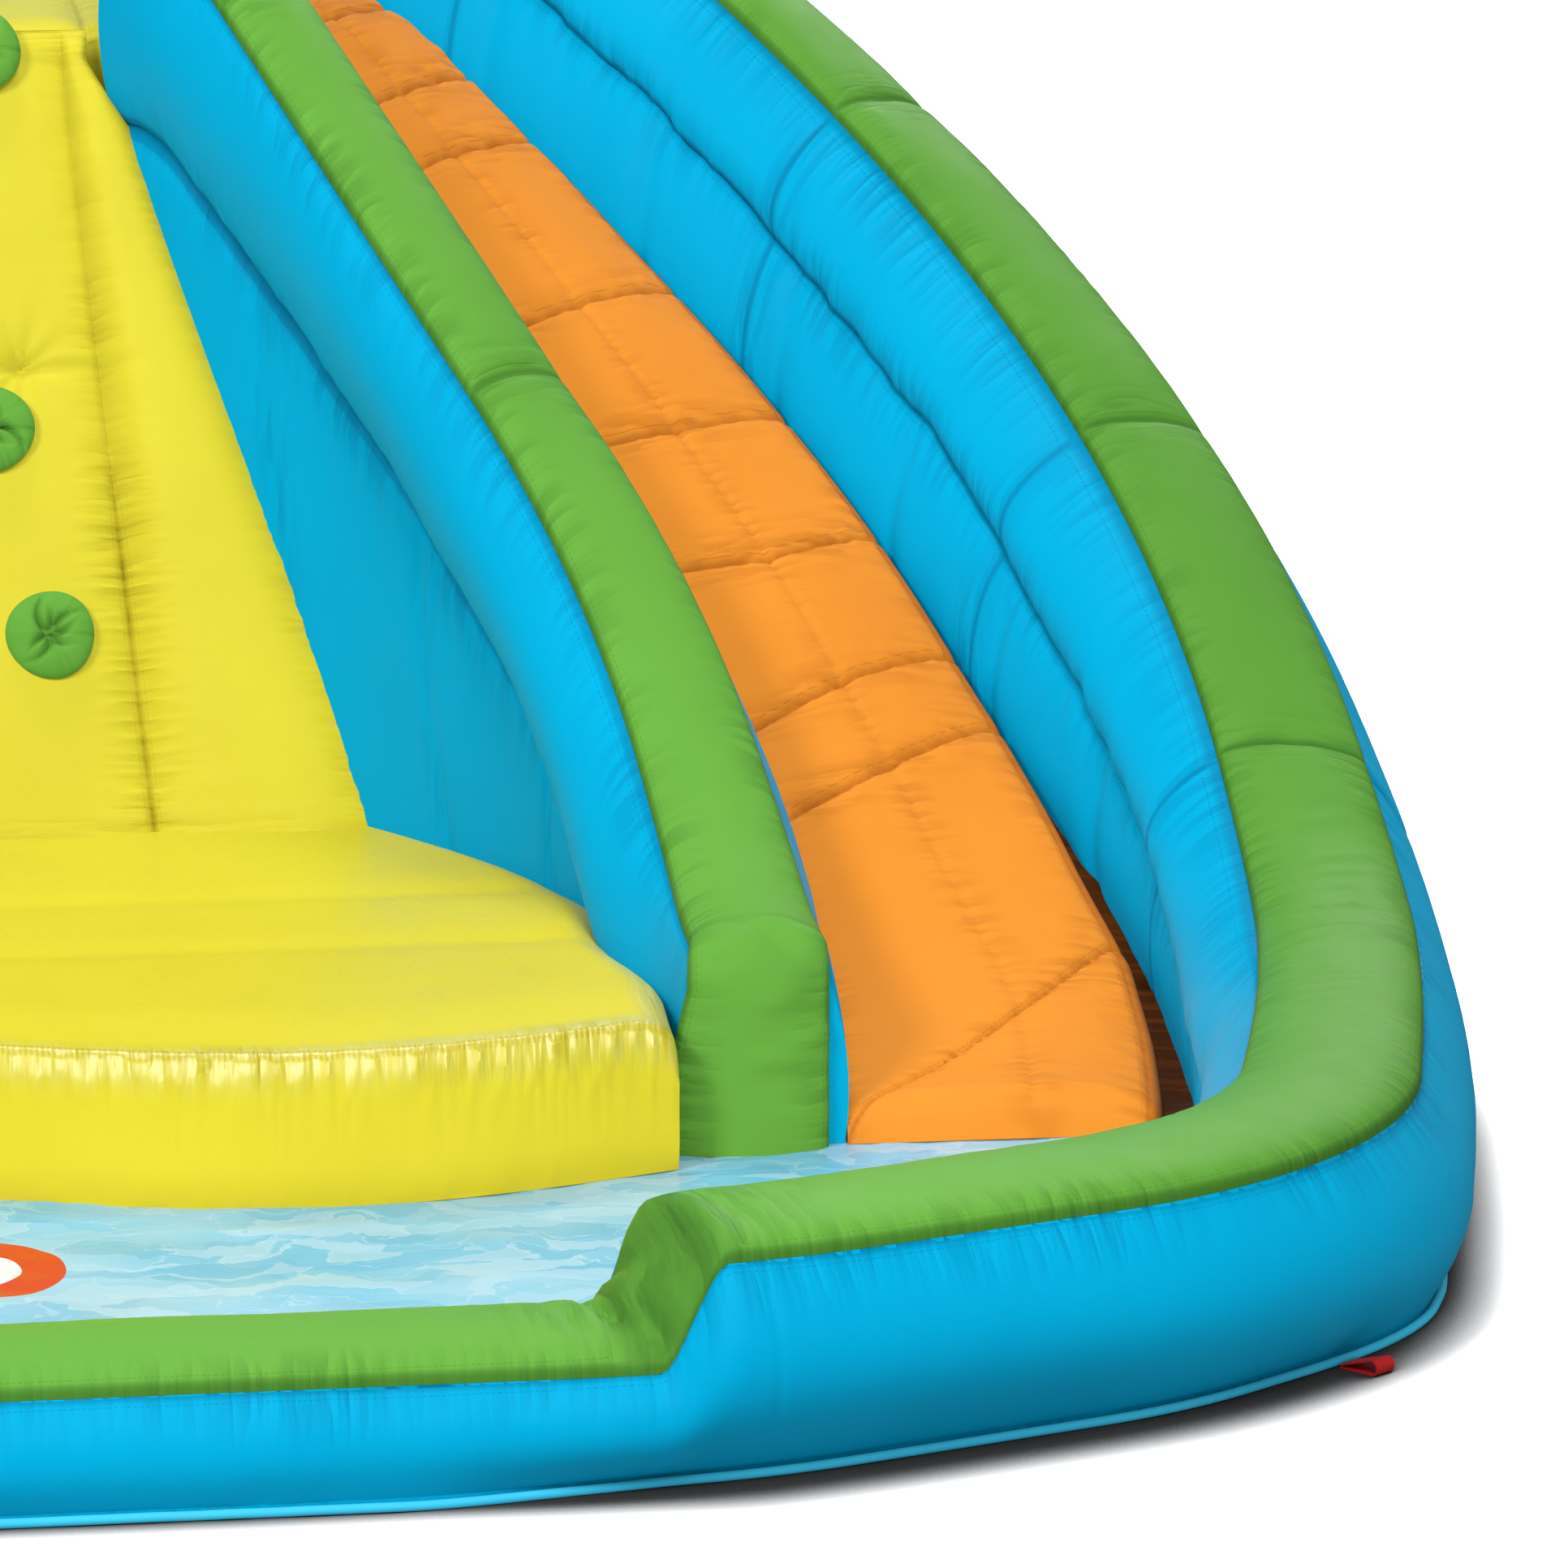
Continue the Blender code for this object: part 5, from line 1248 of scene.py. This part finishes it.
def blow_up(piece):
    """Cloth with air pressure inside and no weight; no point may move far."""
    before = corners_of(piece)
    cloth = piece.modifiers.new("blown up", "CLOTH")
    cloth.settings.use_pressure = True
    cloth.settings.uniform_pressure_force = PRESSURE
    cloth.settings.effector_weights.gravity = 0
    for step in range(1, FRAMES + 1):
        bpy.context.scene.frame_set(step)
    bpy.ops.object.modifier_apply(modifier=cloth.name)
    bpy.context.scene.frame_set(1)
    moved = corners_of(piece) - before
    far = np.linalg.norm(moved, axis=1, keepdims=True)
    move_corners(piece, before + moved * np.minimum(1, MOST_BULGE / np.maximum(far, 1e-9)))
    print(piece.name, "blown up, at most", round(min(far.max(), MOST_BULGE) * 1000, 1), "mm")


def cover(piece, cut, seam, material):
    """Cloth for a piece that started as a copy of its solid."""
    lay_out(piece, cut, seam, material)
    select_only(piece)
    bpy.ops.object.shade_smooth_by_angle(angle=rad(60))
    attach(piece, "inflatable")


deck = merged_copy("top_deck", "top_deck_skin")
remesh(deck, 0.012)
blow_up(deck)
points = corners_of(deck)
across = np.abs((points[:, 0] / CHANNEL_SPACING + 0.5) % 1 - 0.5) * CHANNEL_SPACING
upper = smooth((points[:, 2] - DECK_HEIGHT + 0.05) / 0.04)
points[:, 2] -= upper * (0.014 * np.exp(-across / 0.018) + 0.004)
points[:, 2] += upper * 0.004 * gathers(points[:, 1], across, 91, 0.05, 0.05)
points[:, 2] = np.minimum(points[:, 2], DECK_HEIGHT + MOST_BULGE)
move_corners(deck, points)
cover(deck, points[:, [1, 0]], across, YELLOW)
dress(deck, "top_deck")

tower = merged_copy("tower_chamber", "tower_chamber_skin")
remesh(tower, 0.02)
points = corners_of(tower)
cover(tower, points[:, [0, 2]], np.full(len(points), FAR_OFF), BLUE)
dress(tower, "tower_chamber")
print("deck and tower chamber")

# %% [markdown]
# ## The grips
#
# Seven round green cushions are tied down in their middles. The tie draws the cloth into a few
# deep creases that meet a little off the centre, and the rim stays full. One polar grid makes
# one grip; each copy is turned and gathered a little differently, as hand-sewn ones are.

# %% The climbing grips
GRIP_RADIUS, GRIP_THICK, GRIP_FOLDS, GRIP_SUNK = 0.071, 0.048, 7, 0.026
# The share of the grid that is the grip's side, the side's height and the height of the dome on it
SIDE_SHARE, SIDE_HEIGHT, DOME_HEIGHT = 0.42, GRIP_THICK * 0.42, GRIP_THICK * 0.52
# Moves outwards and down the slope, by the distance from the slide's middle
GRIP_SHIFT = {0.24: (0, 0.013), 0.15: (0.010, 0.016), 0.16: (0.0, -0.006)}
UP_SLOPE = Vector((0, math.cos(INCLINE), math.sin(INCLINE)))
OUT_SLOPE = Vector((0, -math.sin(INCLINE), math.cos(INCLINE)))


def grip_points(seed, turn_round):
    rng = np.random.default_rng(seed)
    folds = np.arange(GRIP_FOLDS) + rng.uniform(-0.42, 0.42, GRIP_FOLDS)
    folds = np.sort(folds / GRIP_FOLDS * 2 * np.pi) + turn_round
    angle, share = np.linspace(0, 2 * np.pi, 145)[:, None], np.linspace(0, 1, 64)[None]
    side = share < SIDE_SHARE
    rounded = 0.90 + 0.10 * np.sin(share * math.pi * 0.5 / SIDE_SHARE)
    inward = np.maximum(1 - (share - SIDE_SHARE) / (1 - SIDE_SHARE), 0)
    radius = GRIP_RADIUS * np.where(side, rounded, inward)
    outer = np.clip(radius / GRIP_RADIUS, 0, 1)
    dome = SIDE_HEIGHT + DOME_HEIGHT * np.maximum(1 - outer**3.2, 0) ** 0.5
    height = np.where(side, SIDE_HEIGHT * share / SIDE_SHARE, dome)
    height = height - 0.026 * np.exp(-((radius / 0.010) ** 1.3)) * ~side
    deep = np.zeros(np.broadcast_shapes(angle.shape, share.shape))
    for number, fold in enumerate(folds):
        bend = (0.5 + 0.9 * rng.uniform()) * (radius / GRIP_RADIUS - 0.3) * (-1) ** number
        gap = np.abs((angle - fold - bend + np.pi) % (2 * np.pi) - np.pi)
        gap = gap * np.maximum(radius, 0.004)
        long = 0.030 + 0.042 * rng.uniform()
        fall = np.exp(-((gap / 0.0055) ** 1.2)) * np.exp(-((radius / long) ** 3))
        deep = np.maximum(deep, fall)
    height = height - 0.022 * deep * ~side
    height = np.where(side, height, np.maximum(height, 0.022))
    loose = field(angle * 1.2 + 3, radius / 0.02, seed + 7) * outer * (1 - outer)
    height = height + 0.005 * ~side * loose
    rim = gathers(angle * GRIP_RADIUS + seed, np.abs(radius - GRIP_RADIUS), seed, 0.016, 0.02)
    height = height + 0.0035 * rim * (radius < GRIP_RADIUS * 0.995)
    edge = radius * (1 + 0.018 * np.sin(3 * angle + seed) * outer)
    return edge * np.cos(angle), edge * np.sin(angle), height, radius, deep, angle


GRIPS = [name for name in sorted(frame["nodes"]) if name.startswith("climbing_hold")]
for number, node in enumerate(GRIPS):
    low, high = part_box(node)
    middle = (low + high) / 2
    shift, lower = GRIP_SHIFT.get(round(abs(middle[0]), 2), (0, 0))
    side = 1 if middle[0] > 0 else -1
    middle = middle - OUT_SLOPE * GRIP_SUNK - UP_SLOPE * lower + Vector((side * shift, 0, 0))
    x, y, height, radius, deep, angle = grip_points(200 + number, number * 0.9)
    points = np.array(middle) + x[..., None] * np.array([1, 0, 0])
    points = points + y[..., None] * np.array(UP_SLOPE) + height[..., None] * np.array(OUT_SLOPE)
    cut = np.stack(np.broadcast_arrays(angle * 0.06, radius), axis=-1)
    # painted shade: the seam value is smallest in the creases and near the middle, which darkens
    # them
    seam = np.minimum(radius, np.maximum(GRIP_RADIUS - radius, 0) + 0.004) + 0.02 * (1 - deep)
    sew(node.replace("hold", "grip"), node, (points, cut, seam), GREEN)
print(len(GRIPS), "grips")

# %% [markdown]
# ## The printed pool floor
#
# The floor is one thin sheet with a print like rippled water, and a plain red ring round a white
# disc in its middle. The print is part of the cloth, so it is a material: bent bands of noise
# give the ripples, and the ring is a distance from one point on the sheet.

# %% The floor's print
RING_Y, RING_OUTSIDE, RING_INSIDE, RING_BLUR = -1.15, 0.157, 0.095, 0.0005
PALE = (0.85, 0.85, 0.78, 1)


def printed_floor():
    graph = Graph(bpy.data.materials.new("printed pool floor"))
    add, maths, ramp, noise, mix = graph.add, graph.maths, graph.ramp, graph.noise, graph.mix
    cut = add("UVMap", {"uv_map": "cut"}).outputs["UV"]
    waved = add("TexNoise", v=cut, scale=7.0, detail=4.0).outputs["Color"]
    bent = add("VectorMath", {"operation": "MULTIPLY_ADD"}, i0=waved, i1=(0.22, 0.22, 0), i2=cut)
    turned, crossed = [
        add("Mapping", v=bent.outputs[0], Rotation=(0, 0, rad(turn)), Scale=size).outputs[0]
        for turn, size in ((34, (5.0, 15.0, 1)), (-28, (5.5, 17.0, 1)))
    ]
    shards = add("TexVoronoi", v=turned, scale=1.0).outputs["Color"]
    slivers = add("TexVoronoi", v=crossed, scale=1.3).outputs["Color"]
    ridges = add("TexVoronoi", {"feature": "DISTANCE_TO_EDGE"}, v=crossed, scale=1.3)
    first, second = [add("SeparateXYZ", v=cells).outputs[0] for cells in (shards, slivers)]
    east, north = add("SeparateXYZ", v=cut).outputs[:2]
    north = maths("ADD", north, -RING_Y)
    squares = maths("ADD", maths("MULTIPLY", east, east), maths("MULTIPLY", north, north))
    away = maths("SQRT", squares)

    base = mix(ramp(noise(cut, 2.2, 3.0), 0.35, 0.68), srgb(166, 218, 238), srgb(112, 198, 230))
    base = mix(ramp(first, 0.2, 0.95, 0.0, 0.45), base, srgb(86, 180, 220))
    base = mix(ramp(second, 0.3, 0.95, 0.0, 0.42), base, srgb(206, 232, 243))
    edge = ramp(ridges.outputs["Distance"], 0.0, 0.035, 0.35, 0.0)
    base = mix(edge, base, srgb(214, 238, 247))
    for radius, colour in ((RING_OUTSIDE, srgb(222, 40, 26)), (RING_INSIDE, srgb(252, 252, 250))):
        base = mix(ramp(away, radius - RING_BLUR, radius + RING_BLUR, 1.0, 0.0), base, colour)
    base = mix(add("LightPath").outputs["Is Diffuse Ray"], base, PALE)
    patchy = ramp(noise(cut, 6.0, 2.0), 0.3, 0.7, 0.30, 0.42, "LINEAR")
    return graph.surface(base, maths("MULTIPLY", noise(cut, 12.0, 3.0), 0.004), patchy, 0.35)


PRINT = printed_floor()

# %% The floor sheet
SHEET_ASIDE, SHEET_END_Y, SHEET_THICK = 0.075, FRONT_Y + 1.70, 0.0012
RIPPLE, RIPPLE_SEED = 0.0075, 301


def floor_sheet():
    """A thin sheet inside the outer wall's route, from the front to a Y, with slack ripples."""
    outline = OUTER.beside(np.linspace(0.75, OUTER.length, 900), SHEET_ASIDE, 0)
    rows = int((SHEET_END_Y - FRONT_Y) / 0.014)
    y = np.linspace(outline[0, 1] + 0.0005, SHEET_END_Y, rows)[:, None]
    x = np.interp(y, outline[:, 1], outline[:, 0]) * np.linspace(-1, 1, 181)[None]
    y = np.broadcast_to(y, x.shape)
    bent = x / 0.22 + 0.4 * field(x / 0.4, y / 0.4, RIPPLE_SEED)
    slack = field(bent, y / 0.10, RIPPLE_SEED + 1) ** 2 * 1.6
    slack = slack * (0.5 + 0.5 * field(x / 0.6 + 3, y / 0.5, RIPPLE_SEED + 2))
    slack = slack + 0.3 * np.abs(field(x / 0.05, y / 0.09, RIPPLE_SEED + 3))
    height = FLOOR_TOP - CLEAR + RIPPLE * np.clip(slack, 0, 1.5)
    return np.stack([x, y, height], axis=-1), np.stack([x, y], axis=-1), np.full(x.shape, FAR_OFF)


top, cut, seam = floor_sheet()
sheet = panel("pool_floor_print", top, cut, seam, PRINT, closed=False)
thick = sheet.modifiers.new("thickness", "SOLIDIFY")
thick.thickness = SHEET_THICK
thick.offset = -1
bpy.ops.object.modifier_apply(modifier=thick.name)
dress(sheet, "pool_floor")
size = np.ptp(cut.reshape(-1, 2), axis=0)
widths = cut[:, -1, 0] - cut[:, 0, 0]
area = float(np.sum((widths[1:] + widths[:-1]) / 2 * np.diff(cut[:, 0, 1])))
flat = (float(size[0]), float(size[1]))
print("pool floor, flat", np.round(size, 3), "area", round(area, 3))

# %% [markdown]
# ## The hem
#
# A round welt of lighter blue is sewn along the whole bottom edge, just outside the wall. It is
# a tube swept round the footprint, a little uneven. The ground sheet lies inside it.

# %% The welt round the bottom edge and the ground sheet
WELT_BEYOND, WELT_HEIGHT, WELT_RADIUS = 0.0071, 0.0066, 0.0064


def hem_line(beyond):
    right = OUTER.beside(ALONG, -base_half(ALONG) - beyond, 0)
    left = right[-2:0:-1] * np.array([-1, 1, 1])
    run = np.concatenate([ALONG, 2 * OUTER.length - ALONG[-2:0:-1]])
    return np.concatenate([right, left]), run


line, run = [item[::2] for item in hem_line(WELT_BEYOND)]
wobble = 0.0012 * field(run / 0.05, run * 0, 401)[:, None]
ahead = np.roll(line, -1, axis=0) - np.roll(line, 1, axis=0)
ahead /= np.linalg.norm(ahead, axis=1, keepdims=True)
out = np.stack([ahead[:, 1], -ahead[:, 0], np.zeros(len(line))], axis=-1)
turn = np.linspace(0, 2 * np.pi, 15)[None]
rings = line[:, None] + out[:, None] * (WELT_RADIUS * np.cos(turn) + wobble)[..., None]
rings[..., 2] = np.maximum(WELT_HEIGHT + WELT_RADIUS * np.sin(turn) + 0.5 * wobble, 0.0002)
rings = np.concatenate([rings, rings[:1]])
run = np.append(run, run[-1] + 0.02)[:, None]
cut = np.stack(np.broadcast_arrays(run, turn * WELT_RADIUS), axis=-1)
seam = np.full(rings.shape[:2], FAR_OFF)
sew("hem_welt", "base_piping", (rings, cut, seam), WELT)

ground = merged_copy("base_sheet", "ground_sheet")
points = corners_of(ground)
cover(ground, points[:, [0, 1]], np.full(len(points), FAR_OFF), BLUE)
dress(ground, "base_sheet")
size = np.ptp(points, axis=0)
x, y, _ = hem_line(0)[0].T
area = 0.5 * abs(float(np.sum(x * np.roll(y, -1) - np.roll(x, -1) * y)))
print("hem and ground sheet, area", round(area, 2))

# %% [markdown]
# ## The tie-down loops
#
# Eight folded loops of red webbing stand out from the hem, two plies with an open eye for a peg.
# Webbing is a flat ribbed strap, so each is a thin closed section swept along the fold.

# %% Red webbing and the loops
LOOP_WIDTH, LOOP_REACH, LOOP_RISE, STRAP = 0.036, 0.068, 0.022, 0.0022
UP = Vector((0, 0, 1))


def webbing():
    graph = Graph(bpy.data.materials.new("red webbing"))
    cut = graph.add("UVMap", {"uv_map": "cut"}).outputs["UV"]
    ribs, cords = graph.waves(cut, 110.0, 0.6, "X"), graph.waves(cut, 60.0, 0.3, "Y")
    height = graph.maths("MULTIPLY", graph.maths("ADD", ribs, cords), 0.0004)
    base = graph.mix(ribs, srgb(176, 26, 28), srgb(222, 30, 34))
    patchy = graph.ramp(graph.noise(cut, 60.0), 0.3, 0.7, 0.55, 0.68, "LINEAR")
    return graph.surface(base, height, patchy, 0.25)


def loop_line():
    """Side view of the strap's middle line: out along the ground, round the eye and back."""
    eye = LOOP_RISE / 2 - STRAP / 2
    middle, lift = LOOP_REACH - LOOP_RISE / 2, LOOP_RISE / 2 - 0.003
    turn = np.linspace(-rad(108), rad(108), 26)
    rim = np.stack([middle + eye * np.cos(turn), lift + eye * np.sin(turn)], axis=-1)
    start, end = np.array([0.0026, -0.0016]), np.array([0.0026, 0.0014])
    share = smooth(np.linspace(0, 1, 14))[:, None]
    return np.concatenate([blend(start, rim[0], share[:-1]), rim, blend(rim[-1], end, share[1:])])


WEBBING = webbing()
line = loop_line()
tangent = np.gradient(line, axis=0)
tangent /= np.linalg.norm(tangent, axis=1, keepdims=True)
side = np.stack([-tangent[:, 1], tangent[:, 0]], axis=-1)
across = np.concatenate([np.linspace(-1, 1, 9), np.linspace(1, -1, 9), [-1]]) * LOOP_WIDTH / 2
thick = np.concatenate([np.full(9, 0.5), np.full(9, -0.5), [0.5]]) * STRAP
flat = line[:, None] + side[:, None] * thick[None, :, None]
wide = np.broadcast_to(across, flat.shape[:2])[..., None]
run = np.concatenate([[0], np.cumsum(np.linalg.norm(np.diff(line, axis=0), axis=1))])
cut = np.stack(np.broadcast_arrays(run[:, None], across[None]), axis=-1)
seam = np.full(flat.shape[:2], 0.02)
for joint in frame["joints"]:
    hinge, axis = Vector(joint["pos_m"]), Vector(joint["axis"]).normalized()
    out = UP.cross(axis).normalized()
    if out.dot(Vector((hinge.x, hinge.y, 0))) < 0:
        out = -out
    points = np.array(hinge) + flat[..., :1] * np.array(out) + flat[..., 1:] * np.array(UP)
    points = points + wide * np.array(axis)
    points[..., 2] = np.maximum(points[..., 2], 0.0004)
    node = joint["child"]
    name = node.replace("anchor_loop", "webbing_loop")
    dress(panel(name, points, cut, seam, WEBBING, body=node), node)
